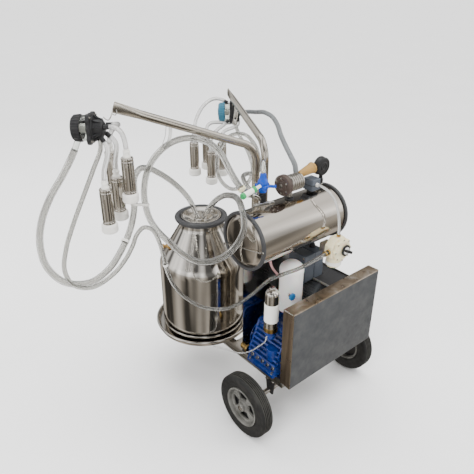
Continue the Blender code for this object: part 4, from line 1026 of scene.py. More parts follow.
def tank():
    """The vacuum tank with its dished ends, wire bail, saddle and drain."""
    low, high = span("tank_shell")
    centre = middle("tank_shell")
    radius, half = (high.z - low.z) / 2, (high.x - low.x) / 2
    shell = [(radius - 0.002, -half), (radius, -half), (radius, -half * 0.5), (radius, half * 0.5),
             (radius, half), (radius - 0.002, half)]
    keep(lathe("tank_drum", shell, TANK_STEEL, centre, X, 160, True), stands_for=("tank_shell",))
    for label, outward, x in (("near", -X, low.x), ("far", X, high.x)):
        place = (x, centre.y, centre.z)
        lathed(f"tank_dish_{label}", [
            (0.0, 0.0258), (0.04, 0.024, 0.02), (0.078, 0.017, 0.01), (0.09, 0.0085, 0.004),
            (0.094, 0.008, 0.003), (0.097, 0.004), (0.0, 0.002),
        ], TANK_STEEL, place, outward, 128, stands_for=(f"tank_cap_{label}",), easing=8)
        lathed(f"tank_ring_{label}", [
            (0.0925, 0.0085), (0.0935, 0.0135, 0.002), (0.0965, 0.0143, 0.002), (0.1015, 0.0138, 0.003),
            (0.1035, 0.0115, 0.002), (0.1035, 0.0015, 0.002), (0.0975, 0.0006, 0.001), (0.0975, 0.005),
        ], GASKET, place, outward, 128, True)
    near = span("tank_cap_near")[0].x
    bail = [(near + 0.01, 0.14, 0.757), (near + 0.002, 0.122, 0.764), (near - 0.0008, 0.071, 0.778),
            (near - 0.0013, 0.008, 0.789), (near + 0.003, -0.034, 0.795), (near + 0.01, -0.05, 0.797)]
    keep(pipe("tank_bail", bail, 0.0013, BRIGHT, 6, 12))
    clip = eased([(0.0, 0.0), (0.0045, 0.0, 0.001), (0.0045, 0.004, 0.001), (0.0, 0.004)])
    for i, end in enumerate((bail[0], bail[-1])):
        keep(lathe(f"bail_clip_{i}", clip, BRIGHT, end, -X, 24))
    strap = block("tank_saddle", (-0.09, 0.03, 0.6935), (-0.04, 0.075, 0.7005), BAR_STEEL)
    keep(strap, bevel=0.0015)
    legs = [block(f"tank_leg_{i}", (x - 0.002, 0.032, 0.6865), (x + 0.002, 0.073, 0.694), BAR_STEEL)
            for i, x in enumerate((-0.085, -0.045))]
    keep(join("tank_saddle_legs", legs), bevel=0.0006)
    drain = [(-0.163, 0.03, 0.708), (-0.166, 0.028, 0.69), (-0.16, 0.026, 0.668), (-0.146, 0.026, 0.646),
             (-0.129, 0.028, 0.626), (-0.113, 0.03, 0.61)]
    points = smooth_points(drain, 6)
    lay_hose("drain_tube", PINK, 0.009, points, with_bore=False)
    lathed("drain_spout", [
        (0.0, -0.006), (0.0065, -0.006), (0.0065, 0.004, 0.001), (0.0035, 0.006, 0.001), (0.0035, 0.014),
        (0.0, 0.014),
    ], BRIGHT, (-0.163, 0.03, 0.712), -Z, 32)
    elbow = [(-0.116, 0.03, 0.613), (-0.104, 0.029, 0.604), (-0.098, 0.026, 0.598)]
    keep(pipe("bottle_elbow", elbow, 0.0058, BRIGHT, 6, 20))


def stud(name, x, top):
    """A short steel nipple on a black grommet, on the tank's crown."""
    crown = span("tank_shell")[1].z
    y = middle("tank_shell").y
    lathed(f"{name}_base", [
        (0.0, crown - 0.004), (0.017, crown - 0.004), (0.017, crown + 0.004, 0.002),
        (0.012, crown + 0.008, 0.002), (0.0, crown + 0.008),
    ], BLACK, (x, y, 0.0), Z, 48)
    lathed(f"{name}_nipple", [
        (0.0, crown), (0.0078, crown), (0.0078, crown + 0.014, 0.001), (0.01, crown + 0.015, 0.001),
        (0.01, crown + 0.021, 0.001), (0.0075, crown + 0.022, 0.001), (0.0075, top), (0.0, top),
    ], BRIGHT, (x, y, 0.0), Z, 40)


def regulator():
    """The blue vacuum regulator with a clear adjusting tip."""
    low, high = span("vacuum_regulator")
    centre = middle("vacuum_regulator")
    place = (centre.x, centre.y, 0.0)
    lathed("regulator_body", [
        (0.0, high.z), (0.0085, high.z, 0.001), (0.01, 1.014, 0.002), (0.0118, 0.998, 0.004),
        (0.0165, 0.992, 0.003), (0.018, 0.984, 0.002), (0.018, 0.965, 0.002), (0.014, 0.959, 0.002),
        (0.012, 0.952, 0.001), (0.0, 0.952),
    ], BRIGHT_BLUE, place, Z, 64, stands_for=("vacuum_regulator",))
    lobes = outline(96, lambda angle: 0.0222 + 0.0046 * max(0.0, math.cos(6 * angle)) ** 0.7)
    keep(plate("regulator_wings", [lobes], 0.009, BRIGHT_BLUE, (centre.x, centre.y, 0.9745), Z, 0.0016))
    spots = ring_of(6, (centre.x, centre.y, 0.979), Z, 0.022)
    bolts("regulator_screws", spots, Z, 0.0021, 0.0016, 0.0002)
    keep(pipe("regulator_spout", [(centre.x + 0.014, centre.y - 0.01, 0.972),
                                  (centre.x + 0.028, centre.y - 0.019, 0.97),
                                  (centre.x + 0.036, centre.y - 0.024, 0.969)], 0.0055, BRIGHT_BLUE, 6, 20))
    stem = [(0.0, 0.953), (0.0115, 0.953)]
    for i in range(5):
        z = 0.95 - 0.006 * i
        stem += [(0.0125, z), (0.0125, z - 0.003), (0.0112, z - 0.0038), (0.0112, z - 0.0055)]
    stem += [(0.01, 0.918), (0.0, 0.918)]
    keep(lathe("regulator_stem", stem, BLACK, place, Z, 48))
    lathed("regulator_foot", [
        (0.0, 0.92), (0.0088, 0.92), (0.0088, 0.914, 0.001), (0.0125, 0.912, 0.001), (0.0125, 0.905, 0.001),
        (0.009, 0.903, 0.001), (0.009, low.z - 0.002), (0.0, low.z - 0.002),
    ], BRIGHT, place, Z, 48)
    lathed("regulator_tee", [
        (0.0, -0.036), (0.006, -0.036, 0.001), (0.006, -0.026, 0.001), (0.0078, -0.025, 0.001),
        (0.0078, 0.018, 0.001), (0.006, 0.019, 0.001), (0.006, 0.034, 0.001), (0.0, 0.034),
    ], BRIGHT, (centre.x, centre.y - 0.008, 0.9115), Vector((0.85, -0.5, 0.12)), 32)
    low, high = span("regulator_screw")
    lathed("regulator_tip", [
        (0.0, high.z), (0.003, high.z, 0.001), (0.0055, high.z - 0.006, 0.002),
        (0.0085, low.z + 0.01, 0.003), (0.0088, low.z + 0.003, 0.001), (0.007, low.z), (0.0, low.z),
    ], BOWL, (centre.x, centre.y, 0.0), Z, 40, body="screw", stands_for=("regulator_screw",))
    lathed("regulator_pin", [
        (0.0, high.z - 0.005), (0.0016, high.z - 0.006, 0.0005), (0.0022, low.z + 0.012, 0.001),
        (0.0045, low.z + 0.01, 0.001), (0.0045, low.z + 0.002), (0.0, low.z + 0.002),
    ], BRIGHT, (centre.x, centre.y, 0.0), Z, 24, body="screw")


def check_valve():
    """A clamp on the vacuum hose's end, a bend into the regulator, and a white valve with green ends."""
    start, end = Vector((-0.296, 0.034, 0.968)), Vector((-0.238, 0.034, 0.981))
    along = end - start
    reach = along.length
    lathed("valve_barrel", [
        (0.0, 0.004), (0.0088, 0.004, 0.001), (0.0088, reach - 0.004, 0.001), (0.0, reach - 0.004),
    ], WHITE, start, along, 40)
    for i, place in enumerate((0.0, reach - 0.013)):
        lathed(f"valve_end_{i}", [
            (0.0, place), (0.0102, place, 0.002), (0.0102, place + 0.012, 0.002), (0.0, place + 0.012),
        ], GREEN, start, along, 40)
    lathed("valve_tip", [
        (0.0, reach - 0.002), (0.006, reach - 0.002, 0.001), (0.005, reach + 0.02, 0.001),
        (0.0, reach + 0.02),
    ], WHITE, start, along, 32)
    lathed("valve_clamp", [
        (0.0108, -0.0055), (0.0132, -0.0055, 0.002), (0.0132, 0.0055, 0.002), (0.0108, 0.0055),
    ], CREAM, (-0.268, 0.067, 0.978), Vector((0.45, -0.4, -0.8)), 40, True)
    ear = block("valve_clamp_ear", (-0.284, 0.052, 0.975), (-0.275, 0.06, 0.987), CREAM)
    keep(ear, bevel=0.0015)
    bend = [(-0.232, 0.061, 0.951), (-0.22, 0.06, 0.945), (-0.207, 0.058, 0.937), (-0.196, 0.055, 0.925)]
    keep(pipe("valve_bend", bend, 0.0084, BRIGHT, 6, 28))


def line_pulsator():
    """The ribbed drum with its brown cover and amber funnel, and the grey outlet block beside it."""
    low, high = span("line_pulsator")
    centre = Vector((0.0, middle("tank_shell").y, 0.951))
    lathed("pulsator_disc", [
        (0.0, -low.x), (0.03, -low.x, 0.003), (0.0368, -low.x - 0.004, 0.003),
        (0.0368, -low.x - 0.021, 0.002), (0.03, -low.x - 0.026, 0.002), (0.0, -low.x - 0.026),
    ], BROWN, centre, -X, 72, stands_for=("line_pulsator",))
    lathed("pulsator_disc_ring", [
        (0.01, -low.x), (0.013, -low.x + 0.0015, 0.001), (0.0215, -low.x + 0.0015, 0.001), (0.023, -low.x),
    ], BROWN, centre, -X, 64, True)
    spots = ring_of(6, (low.x, centre.y, centre.z), -X, 0.0275)
    bolts("pulsator_disc_screws", spots, -X, 0.0028, 0.0022, 0.0002)
    bolts("pulsator_disc_centre", [(low.x, centre.y, centre.z)], -X, 0.0048, 0.003, 0.0004)
    ribs = [(0.0, 0.076), (0.028, 0.076)]
    for i in range(6):
        x = 0.074 - 0.0095 * i
        ribs += [(0.0298, x), (0.0298, x - 0.005), (0.0272, x - 0.006), (0.0272, x - 0.0085)]
    ribs += [(0.022, -high.x), (0.0, -high.x)]
    keep(lathe("pulsator_drum", ribs, BAR_STEEL, centre, -X, 72))
    stud("pulsator_stud", -0.062, 0.93)
    bend = [(-0.035, centre.y, 0.975), (-0.035, centre.y, 0.992)]
    keep(pipe("pulsator_nipple", bend, 0.0042, BRIGHT, 4, 20))
    lathed("amber_funnel", [
        (0.0, -0.006), (0.0115, -0.006, 0.002), (0.0125, 0.004, 0.002), (0.0185, 0.056, 0.003),
        (0.0205, 0.06, 0.002), (0.0205, 0.066, 0.002), (0.0, 0.066),
    ], AMBER, (-0.016, centre.y, 0.972), Vector((0.93, 0.0, 0.16)), 48)
    low, high = span("outlet_manifold")
    body = block("manifold_body", (low.x, low.y, 0.902), (high.x, high.y, high.z), GREY_BOX)
    keep(body, stands_for=("outlet_manifold",), bevel=0.005)
    seam = block("manifold_seam", (low.x - 0.0006, low.y - 0.0006, 0.9215),
                 (high.x + 0.0006, high.y + 0.0006, 0.9245), BLACK)
    keep(seam, bevel=0.001)
    lathed("manifold_foot", [
        (0.0, low.z), (0.016, low.z), (0.016, 0.9, 0.002), (0.012, 0.904), (0.0, 0.904),
    ], BLACK, (0.048, centre.y, 0.0), Z, 40)
    lathed("manifold_spigot", [
        (0.0, -0.006), (0.0072, -0.006), (0.0072, 0.006, 0.001), (0.0058, 0.007, 0.001), (0.0, 0.007),
    ], WHITE, (0.048, low.y - 0.001, 0.925), -Y, 32)


def gauge():
    """The vacuum gauge. Its dial faces the rear."""
    centre = Vector((0.095, middle("tank_shell").y, 0.978))
    lathed("gauge_case", [
        (0.0, -0.013), (0.029, -0.013, 0.004), (0.033, -0.01, 0.002), (0.033, 0.007, 0.001),
        (0.0342, 0.0075, 0.001), (0.0342, 0.011, 0.002), (0.0305, 0.0115, 0.001), (0.03, 0.0085),
        (0.0, 0.0085),
    ], BLACK, centre, Y, 96, stands_for=("vacuum_gauge",))
    lathed("gauge_back", [
        (0.008, -0.013), (0.0105, -0.015, 0.001), (0.015, -0.015, 0.001), (0.0175, -0.013),
    ], BLACK, centre, Y, 64, True)
    dial = [(0.0, 0.0092), (0.0298, 0.0092), (0.0298, 0.0086), (0.0, 0.0086)]
    keep(lathe("gauge_dial", dial, WHITE, centre, Y, 64))
    marks = []
    for i in range(19):
        angle = math.radians(-45 + 15 * i)
        inner = 0.0225 if i % 3 == 0 else 0.0245
        outward = Vector((math.cos(angle), 0.0, math.sin(angle)))
        points = [centre + Y * 0.0094 + outward * r for r in (inner, 0.5 * (inner + 0.0275), 0.0275)]
        marks.append(sweep(f"tick_{i}", points, (0.0005, 0.0003), BLACK, 8, Y))
    needle = Vector((math.cos(2.5), 0.0, math.sin(2.5)))
    points = [centre + Y * 0.01 - needle * 0.006, centre + Y * 0.01 + needle * 0.008,
              centre + Y * 0.01 + needle * 0.022]
    marks.append(sweep("needle", points, lambda share: (0.0012 * (1.0 - 0.7 * share), 0.0004), BLACK, 8, Y))
    hub_cap = eased([(0.0, 0.0112), (0.0028, 0.0112, 0.001), (0.003, 0.0092), (0.0, 0.0092)])
    marks.append(lathe("needle_hub", hub_cap, BLACK, centre, Y, 24))
    for mark in marks:
        mark.data.transform(mark.matrix_basis)
        mark.matrix_basis = Matrix()
    keep(join("gauge_marks", marks))
    lathed("gauge_glass", [
        (0.0, 0.0122), (0.024, 0.012, 0.006), (0.0302, 0.0104), (0.0, 0.0102),
    ], BOWL, centre, Y, 64)
    lathed("gauge_stem", [
        (0.0, 0.912), (0.0075, 0.912), (0.0095, 0.918, 0.002), (0.0095, 0.932, 0.001),
        (0.007, 0.935, 0.001), (0.007, 0.95), (0.0, 0.95),
    ], BLACK, (centre.x, centre.y, 0.0), Z, 40)
    stud("gauge_stud", centre.x, 0.915)


def milk_pulsator():
    """The cream pulsator with its black knob."""
    x, z, front = 0.06, 0.712, span("milk_pulsator")[0].y
    octagon = arc(0.0495, 22.5, 337.5, 7)
    body = standing_plate("pulsator_case", octagon, 0.034, CREAM, (x, front + 0.033, z), 0.004)
    keep(body, stands_for=("milk_pulsator",))
    lobes = outline(96, lambda angle: 0.04 + 0.0055 * max(0.0, math.cos(8 * angle)) ** 0.8)
    keep(plate("pulsator_face", [lobes], 0.014, CREAM, (x + 0.002, front + 0.01, z), -Y, 0.003))
    screws = ring_of(8, (x + 0.002, front + 0.003, z), -Y, 0.04)
    bolts("pulsator_screws", screws, -Y, 0.0024, 0.0016, 0.0002)
    bar = block("pulsator_bracket", (x - 0.02, -0.056, z - 0.03), (x + 0.02, -0.0128, z + 0.004), BAR_STEEL)
    keep(bar, bevel=0.002)
    lathed("pulsator_base", [
        (0.0, -0.03), (0.024, -0.03, 0.004), (0.027, -0.022, 0.003), (0.027, 0.018, 0.002), (0.0, 0.018),
    ], CREAM, (x - 0.008, front + 0.034, z - 0.04), Z, 64)
    lathed("pulsator_base_ring", [
        (0.0, 0.004), (0.0275, 0.004), (0.029, 0.0, 0.002), (0.029, -0.01, 0.002), (0.0, -0.01),
    ], WHITE, (x - 0.008, front + 0.034, z - 0.052), Z, 64)
    for name, place, direction in (("upper", (0.06, -0.08, 0.757), Z), ("side", (0.016, -0.08, 0.712), -X)):
        lathed(f"pulsator_spigot_{name}", [
            (0.0, -0.012), (0.0085, -0.012), (0.0085, 0.0, 0.001), (0.005, 0.002, 0.001), (0.0, 0.002),
        ], WHITE, place, direction, 32)
    clamps = (((0.01, -0.0798, 0.7115), X, 0.0078), ((0.06, -0.08, 0.763), Z, 0.0056),
              ((-0.006, -0.0795, 0.71), X, 0.0078))
    for i, (place, direction, radius) in enumerate(clamps):
        lathed(f"clamp_{i}", [
            (radius, -0.004), (radius + 0.0022, -0.004, 0.001), (radius + 0.0022, 0.004, 0.001),
            (radius, 0.004),
        ], BRASS, place, direction, 32, True)
    centre = middle("pulsator_knob")
    lathed("knob_skirt", [
        (0.0, 0.0005), (0.0215, 0.0005), (0.0215, 0.004, 0.001), (0.0185, 0.005, 0.001), (0.0, 0.005),
    ], BLACK, (centre.x, front, centre.z), -Y, 64, body="knob", stands_for=("pulsator_knob",))
    lathed("knob_ring", [
        (0.0, 0.005), (0.0135, 0.005), (0.0128, 0.008, 0.001), (0.0, 0.008),
    ], WHITE, (centre.x, front, centre.z), -Y, 48, body="knob")
    grip = arc(0.0052, 0, 180, 10, (0.0, 0.014)) + arc(0.0052, 180, 360, 10, (0.0, -0.014))
    handle = plate("knob_lever", [grip], 0.0125, BLACK, (centre.x, front - 0.0138, centre.z), -Y, 0.0018)
    turned = Matrix.Rotation(math.radians(62), 4, "Z")
    handle.matrix_basis = towards((centre.x, front - 0.0135, centre.z), -Y) @ turned
    keep(handle, "knob")


# ---------------------------------------------------------------- handles


def handles():
    """Two posts whose tops bend over into horns. Each horn's end is pressed flat and upright."""
    tips = {"left": Vector((-0.56, 0.311, 1.236)), "right": Vector((0.163, 0.661, 1.136))}
    posts = {"left": -0.092, "right": -0.048}
    bend, pressed = 0.075, 0.095
    for label, tip in tips.items():
        low = span(f"handle_{label}")[0]
        post = posts[label]
        corner = Vector((post, 0.195, 1.05))
        radius = 0.0135
        along = (tip - corner).normalized()
        turn = along.angle(Z)
        reach = bend * math.tan(turn / 2)
        start, finish_at = corner - Z * reach, corner + along * reach
        centre = start + (along - Z * along.dot(Z)).normalized() * bend
        spoke = start - centre
        axis = spoke.cross(Z).normalized()
        bow = [centre + Matrix.Rotation(turn * i / 24, 3, axis) @ spoke for i in range(25)]
        flat = [tip - along * pressed * i / 16 for i in range(17)]
        foot = Vector((post, 0.195, low.z))
        points = [*flat, flat[-1].lerp(finish_at, 0.5), *reversed(bow), start.lerp(foot, 0.5), foot]
        sizes = []
        for i in range(len(points)):
            share = min(1.0, i / 16)
            ease = share * share * (3 - 2 * share)
            sizes.append((0.0036 + (radius - 0.0036) * ease, 0.0168 + (radius - 0.0168) * ease))
        tube = sweep(f"handle_{label}_tube", points, lambda share: sizes[round(share * (len(points) - 1))],
                     TUBE_STEEL, 40, Z)
        keep(tube, stands_for=(f"handle_{label}",))
        lathed(f"handle_{label}_weld", [
            (radius, 0.0), (radius + 0.0045, 0.0, 0.002), (radius + 0.0025, 0.005, 0.003), (radius, 0.007),
        ], BAR_STEEL, (post, 0.195, low.z - 0.0004), Z, 48, True)
    brace = [block(f"post_brace_{i}", (-0.107, 0.1765, z - 0.012), (-0.033, 0.1812, z + 0.012), BAR_STEEL)
             for i, z in enumerate((0.64, 0.3))]
    keep(join("post_braces", brace), bevel=0.001)
    heads = [(x, 0.1765, z) for z in (0.3, 0.64) for x in posts.values()]
    bolts("post_brace_bolts", heads, -Y, 0.0048, 0.0035, 0.0003)


# ---------------------------------------------------------------- milking clusters


def bezier(a, b, c, d, steps):
    """Points of a cubic Bezier curve."""
    made = []
    for i in range(steps + 1):
        t = i / steps
        made.append((1 - t) ** 3 * a + 3 * t * (1 - t) ** 2 * b + 3 * t * t * (1 - t) * c + t ** 3 * d)
    return made


def claw(label, along):
    """A claw: black body, square flange, clear bowl and ribbed collar. It returns the claw's place."""
    place = {"left": Vector((-0.614, 0.32, 1.181)), "right": Vector((0.16, 0.612, 1.059))}[label]
    lathed(f"claw_{label}_body", [
        (0.0, 0.024), (0.014, 0.024, 0.003), (0.0245, 0.019, 0.004), (0.0275, 0.008, 0.003),
        (0.0285, -0.004, 0.003), (0.04, -0.0075, 0.002), (0.04, -0.012), (0.0, -0.012),
    ], BLACK, place, along, 72, stands_for=(f"claw_{label}",), easing=6)
    rim = outline(120, lambda angle: 0.044 + 0.012 * max(0.0, math.cos(4 * angle)) ** 0.7)
    keep(plate(f"claw_{label}_flange", [rim], 0.012, BLACK, place - along * 0.0165, along, 0.002))
    screws = [place - along * 0.0105 + sideways(along, math.pi * i / 2) * 0.048 for i in range(4)]
    bolts(f"claw_{label}_screws", screws, along, 0.0034, 0.003, 0.0003)
    ribs = []
    for i in range(10):
        around = sideways(along, 2 * math.pi * i / 10)
        points = [place + along * -0.008 + around * 0.038, place + along * 0.004 + around * 0.029,
                  place + along * 0.016 + around * 0.025]
        ribs.append(sweep(f"rib_{i}", points, (0.0016, 0.0034), BLACK, 10, around))
    keep(join(f"claw_{label}_ribs", ribs))
    bowl = eased([(0.039, -0.023), (0.0375, -0.044, 0.004), (0.035, -0.06, 0.008), (0.028, -0.069, 0.004),
                  (0.015, -0.073, 0.002), (0.0, -0.0733)], 8)
    keep(lathe(f"claw_{label}_bowl", [(0.0, -0.023), *bowl], BOWL, place, along, 96),
         stands_for=(f"claw_bowl_{label}",))
    inner = eased([(0.0, -0.024), (0.0355, -0.024), (0.0345, -0.043, 0.006), (0.031, -0.059, 0.006),
                   (0.0, -0.066)], 6)
    liner = lathe(f"claw_{label}_liner", inner, BOWL, place, along, 72)
    liner.data.flip_normals()
    keep(liner)
    lathed(f"claw_{label}_valve", [
        (0.0, -0.024), (0.014, -0.026, 0.002), (0.0125, -0.052, 0.003), (0.006, -0.06, 0.002), (0.0, -0.06),
    ], WHITE, place, along, 40)
    collar = BLACK if label == "left" else TEAL
    lathed(f"claw_{label}_band", [
        (0.0372, -0.043), (0.0392, -0.0435, 0.001), (0.0392, -0.05, 0.001), (0.0372, -0.066, 0.002),
        (0.033, -0.071, 0.002), (0.028, -0.071), (0.0345, -0.061), (0.037, -0.05),
    ], collar, place, along, 96, True)
    grips = []
    for i in range(26):
        around = sideways(along, 2 * math.pi * i / 26)
        points = [place - along * 0.044 + around * 0.0392, place - along * 0.054 + around * 0.0386,
                  place - along * 0.0655 + around * 0.037]
        grips.append(sweep(f"grip_{i}", points, (0.0018, 0.0016), collar, 8, around))
    keep(join(f"claw_{label}_grips", grips))
    if label == "left":
        spigot = [place - along * 0.055 - Z * 0.025, place - along * 0.065 - Z * 0.045,
                  place - along * 0.075 - Z * 0.066]
        keep(sweep("claw_left_spigot", spigot, (0.0088, 0.0088), BOWL, 28))
    return place


def cup(label, index):
    """One teat cup, hanging mouth down: steel shell, white mouthpiece and the short tube's neck."""
    node = f"teat_cup_{label}_{index}"
    low, high = span(node)
    centre = middle(node)
    place = (centre.x, centre.y, 0.0)
    mouth, top = low.z, high.z - 0.026
    lip = mouth + 0.03
    radius = 0.0195
    lathed(f"{node}_shell", [
        (0.0125, lip - 0.004), (radius, lip - 0.004), (radius, lip + 0.006, 0.001),
        (radius - 0.001, lip + 0.008, 0.001), (radius - 0.001, lip + 0.011, 0.001),
        (radius, lip + 0.013, 0.001), (radius, top - 0.014, 0.001), (radius - 0.001, top - 0.012, 0.001),
        (radius - 0.001, top - 0.009, 0.001), (radius, top - 0.007, 0.001),
        (radius - 0.0005, top - 0.002, 0.002), (radius - 0.005, top, 0.002), (0.0, top),
    ], CUP_STEEL, place, Z, 64, stands_for=(node,))
    wide = 0.0265
    lathed(f"{node}_mouthpiece", [
        (0.0125, mouth + 0.026), (0.0125, mouth + 0.006, 0.002), (0.015, mouth, 0.002),
        (wide - 0.004, mouth, 0.003), (wide, mouth + 0.005, 0.003), (wide - 0.0008, mouth + 0.016, 0.002),
        (wide - 0.0005, lip - 0.005, 0.002), (wide - 0.003, lip, 0.002), (0.02, lip + 0.0015, 0.001),
        (0.02, lip - 0.003),
    ], WHITE, place, Z, 64, True)
    inside = [(0.0, mouth + 0.028), (0.0122, mouth + 0.028), (0.0122, mouth + 0.024), (0.0, mouth + 0.024)]
    keep(lathe(f"{node}_liner", inside, GASKET, place, Z, 40))
    lathed(f"{node}_neck", [
        (0.0, top - 0.004), (0.0125, top - 0.004), (0.0125, top + 0.004, 0.001),
        (0.0095, top + 0.006, 0.001), (0.0095, top + 0.013, 0.001), (0.0112, top + 0.014, 0.001),
        (0.0112, top + 0.019, 0.001), (0.0085, top + 0.02, 0.001), (0.0085, high.z), (0.0, high.z),
    ], WHITE if label == "left" else MILKY, place, Z, 48)
    side = Vector((-0.55, -0.83, 0.0)).normalized()
    nozzle = [Vector((centre.x, centre.y, top - 0.022)) + side * r
              for r in (radius - 0.002, radius + 0.006, radius + 0.012)]
    keep(sweep(f"{node}_pulse_nozzle", nozzle, (0.0036, 0.0036), BRIGHT, 20))
    return Vector((centre.x, centre.y, high.z))


def clusters():
    """Both milking clusters: a claw, four cups and the short tubes between them."""
    turn = Matrix.Rotation(math.radians(-40), 3, "Z")
    along, aside = turn @ X, turn @ Y
    diameter = 0.015
    nipple = eased([(0.0, -0.006), (0.0078, -0.006), (0.007, 0.012, 0.001), (0.0, 0.012)])
    # Where each short tube leaves its claw: along the claw's axis, aside, up, and the direction it leaves in
    exits = {
        "left": ((0.014, -0.012, -0.03, (0.55, -0.1, -0.83)), (0.024, 0.014, -0.022, (0.72, 0.1, -0.68)),
                 (0.03, -0.014, 0.006, (0.98, -0.12, 0.1)), (0.03, 0.014, 0.006, (0.98, 0.16, 0.02))),
        "right": ((-0.036, 0.01, 0.04, (-0.85, 0.25, 0.45)), (-0.03, -0.022, -0.034, (-0.72, -0.2, -0.66)),
                  (0.006, 0.02, -0.028, (-0.2, 0.4, -0.9)), (0.014, -0.014, -0.028, (0.1, -0.3, -0.95))),
    }
    for label, tubes in exits.items():
        place = claw(label, along)
        for i, (forth, side, rise, way) in enumerate(tubes):
            top = cup(label, i + 1)
            leave = (along * way[0] + aside * way[1] + Z * way[2]).normalized()
            start = place + along * forth + aside * side + Z * rise
            keep(lathe(f"claw_{label}_nipple_{i + 1}", nipple, BLACK, start, leave, 32))
            begin = start + leave * 0.01
            drop = (begin - top).length
            points = bezier(begin, begin + leave * 0.38 * drop, top + Z * 0.48 * drop, top - Z * 0.002, 28)
            lay_hose(f"short_tube_{label}_{i + 1}", MILKY, diameter, points, with_bore=False)


def hangers():
    """What holds the clusters and hoses up: wire hooks, a sprung clip, hose ties and a strap."""
    hook = [(-0.562, 0.311, 1.228), (-0.57, 0.302, 1.222), (-0.579, 0.296, 1.212), (-0.586, 0.298, 1.204),
            (-0.592, 0.303, 1.207), (-0.596, 0.308, 1.213)]
    keep(pipe("hook_left", hook, 0.0016, BRIGHT, 6, 14))
    loop = [(-0.556, 0.309, 1.236), (-0.553, 0.305, 1.222), (-0.56, 0.303, 1.214), (-0.568, 0.305, 1.218)]
    keep(pipe("hook_left_loop", loop, 0.0014, BRIGHT, 6, 12))
    edge = [(-0.0085, -0.04), (0.0085, -0.04), (0.0095, 0.03), (0.006, 0.038), (-0.006, 0.038),
            (-0.0095, 0.03)]
    hole = arc(0.0042, 0, 360, 24, (0.0, -0.012))[:-1]
    clip = plate("clip_right", [edge, hole], 0.0028, BRIGHT, (0.0, 0.0, 0.0), Z, 0.0006)
    facing = Vector((-0.64, -0.72, 0.12)).normalized()
    upward = (Vector((0.14, -0.06, 0.96)) - facing * Vector((0.14, -0.06, 0.96)).dot(facing)).normalized()
    turn = Matrix((upward.cross(facing), upward, facing)).transposed().to_4x4()
    clip.matrix_basis = Matrix.Translation((0.13, 0.57, 1.056)) @ turn
    keep(clip)
    for name, spot in (("pin_upper", 0.026), ("pin_lower", -0.03)):
        at = Vector((0.13, 0.57, 1.056)) + upward * spot + facing * 0.0012
        lathed(f"clip_{name}", [
            (0.0, 0.0), (0.0036, 0.0), (0.0036, 0.0016, 0.0008), (0.0, 0.0022),
        ], BRIGHT, at, facing, 24)
    spring = [(0.141, 0.59, 1.083), (0.147, 0.612, 1.1), (0.152, 0.634, 1.112), (0.156, 0.65, 1.121)]
    keep(pipe("clip_spring", spring, 0.0022, BRIGHT, 6, 14))
    # Each tie: the middles of the strands that it holds, the way they run and the radius round them
    ties = (((-0.5175, 0.3175, 0.9085), (-0.4805, 0.31, 0.903), (0.25, 0.24, 0.94), 0.0114),
            ((-0.593, 0.2605, 0.822), (-0.593, 0.2605, 0.822), (0.7, 0.36, 0.58), 0.0114),
            ((-0.4755, 0.219, 0.71), (-0.4755, 0.219, 0.71), (0.2, 0.15, -0.9), 0.008))
    for i, (one, two, way, radius) in enumerate(ties):
        one, two, way = Vector(one), Vector(two), Vector(way).normalized()
        across = two - one if one != two else way.orthogonal()
        across = (across - way * across.dot(way)).normalized()
        apart = (two - one).length / 2
        loops = [arc(size, -90, 90, 16, (apart, 0.0)) + arc(size, 90, 270, 16, (-apart, 0.0))
                 for size in (radius + 0.0013, radius)]
        loops = [[point for k, point in enumerate(loop) if math.dist(point, loop[k - 1]) > 1e-6]
                 for loop in loops]
        band = plate(f"tie_{i}", loops, 0.0085, WHITE, (0.0, 0.0, 0.0), Z)
        band.matrix_basis = Matrix.Translation((one + two) / 2) @ Matrix(
            (across, way.cross(across), way)).transposed().to_4x4()
        keep(band)
    strap = [(-0.374, 0.297, 1.146), (-0.376, 0.297, 1.162), (-0.374, 0.311, 1.1655), (-0.372, 0.325, 1.16),
             (-0.372, 0.327, 1.14), (-0.38, 0.322, 1.115), (-0.396, 0.314, 1.092), (-0.4, 0.3, 1.085),
             (-0.392, 0.293, 1.094), (-0.38, 0.293, 1.12), (-0.374, 0.297, 1.146)]
    keep(sweep("horn_strap", smooth_points(strap, 6), (0.006, 0.0009), MILKY, 12, Z))
    drip = [(-0.266, 0.24, 0.24), (-0.235, 0.2, 0.234), (-0.222, 0.14, 0.245), (-0.216, 0.08, 0.285),
            (-0.214, 0.03, 0.34), (-0.212, -0.005, 0.385), (-0.209, -0.01, 0.412)]
    lay_hose("drip_line", MILKY, 0.0055, smooth_points(drip, 8), with_bore=False)


# ---------------------------------------------------------------- stage


def floor():
    """A wide pale floor. Steel doesn't mirror it, and reflects the room below instead."""
    made = Finish("pale_floor", (0.86, 0.86, 0.86), 0.9)
    made.tint(made.noise(1.5, 3.0), (0.3, (0.89, 0.89, 0.89)), (0.7, (0.91, 0.91, 0.91)))
    bm = bmesh.new()
    bmesh.ops.create_circle(bm, cap_ends=True, segments=128, radius=60.0)
    obj = thing("floor", bm, made.material)
    obj.visible_glossy = False


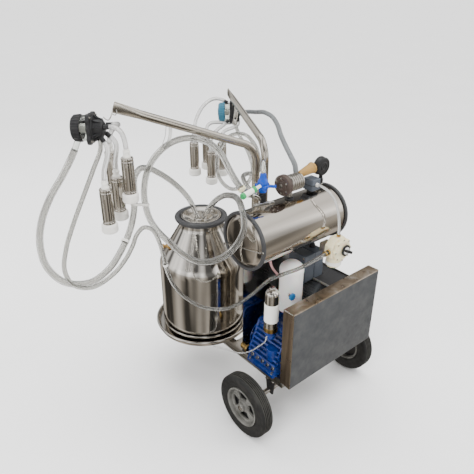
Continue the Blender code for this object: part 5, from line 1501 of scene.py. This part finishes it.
def room():
    """What the steel mirrors: a warm dark ground, a pale band at the horizon and a grey ceiling."""
    world = bpy.data.worlds.new("room")
    world.use_nodes = True
    bpy.context.scene.world = world
    tree = world.node_tree
    where = add_node(tree, "ShaderNodeTexCoord").outputs["Generated"]
    parts = add_node(tree, "ShaderNodeSeparateXYZ", Vector=where)
    height = add_node(tree, "ShaderNodeMapRange", Value=parts.outputs["Z"], From_Min=-1.0)
    bands = colour_ramp(tree, height.outputs[0], (
        (0.0, (0.34, 0.31, 0.27)), (0.34, (0.42, 0.39, 0.345)), (0.47, (0.62, 0.59, 0.54)),
        (0.505, (1.1, 1.09, 1.07)), (0.62, (1.4, 1.4, 1.39)), (0.72, (0.9, 0.89, 0.88)),
        (0.82, (0.7, 0.695, 0.685)), (1.0, (1.15, 1.15, 1.15)),
    ))
    upright = add_node(tree, "ShaderNodeMapping", Vector=where, Scale=(1.0, 1.0, 0.15))
    cloud = add_node(tree, "ShaderNodeTexNoise", Vector=upright.outputs[0], Scale=2.1, Detail=1.0)
    contrast = add_node(tree, "ShaderNodeMapRange", Value=cloud.outputs["Fac"], From_Min=0.4, From_Max=0.62,
                        To_Min=0.14, To_Max=1.85)
    set_input(tree, tree.nodes["Background"], "Strength", contrast.outputs[0])
    set_input(tree, tree.nodes["Background"], "Color", bands)


def softbox(name, place, target, size, power):
    """A soft rectangular lamp that polished parts don't mirror."""
    lamp = bpy.data.lights.new(name, "AREA")
    lamp.shape = "RECTANGLE"
    lamp.size, lamp.size_y = size
    lamp.energy = power
    obj = bpy.data.objects.new(name, lamp)
    STAGE.objects.link(obj)
    obj.visible_glossy = False
    obj.matrix_world = Matrix.Translation(Vector(place)) @ (Vector(target) - Vector(place)).to_track_quat(
        "-Z", "Y").to_matrix().to_4x4()


def lights():
    """Three soft boxes and a wide, soft sky."""
    aim = (0.0, 0.0, 0.6)
    softbox("key", (-2.6, -1.2, 3.4), aim, (1.6, 1.6), 110)
    softbox("fill", (2.4, -2.6, 2.2), aim, (2.0, 2.0), 50)
    softbox("rim", (-1.2, 3.2, 2.4), aim, (2.0, 1.4), 50)
    lamp = bpy.data.lights.new("sky", "SUN")
    lamp.energy = 4.2
    lamp.angle = math.radians(70)
    obj = bpy.data.objects.new("sky", lamp)
    STAGE.objects.link(obj)
    obj.visible_glossy = False
    obj.matrix_world = Vector((0.25, 0.1, 1.0)).to_track_quat("Z", "Y").to_matrix().to_4x4()


PARTS = (running_gear, chassis, tray, bucket, lid, guard, belt_drive, pump, oil_system, motor, tank,
         regulator, check_valve, line_pulsator, gauge, milk_pulsator, handles, clusters, hangers, hoses)
for make in (*PARTS, camera, room, lights, floor):
    make()
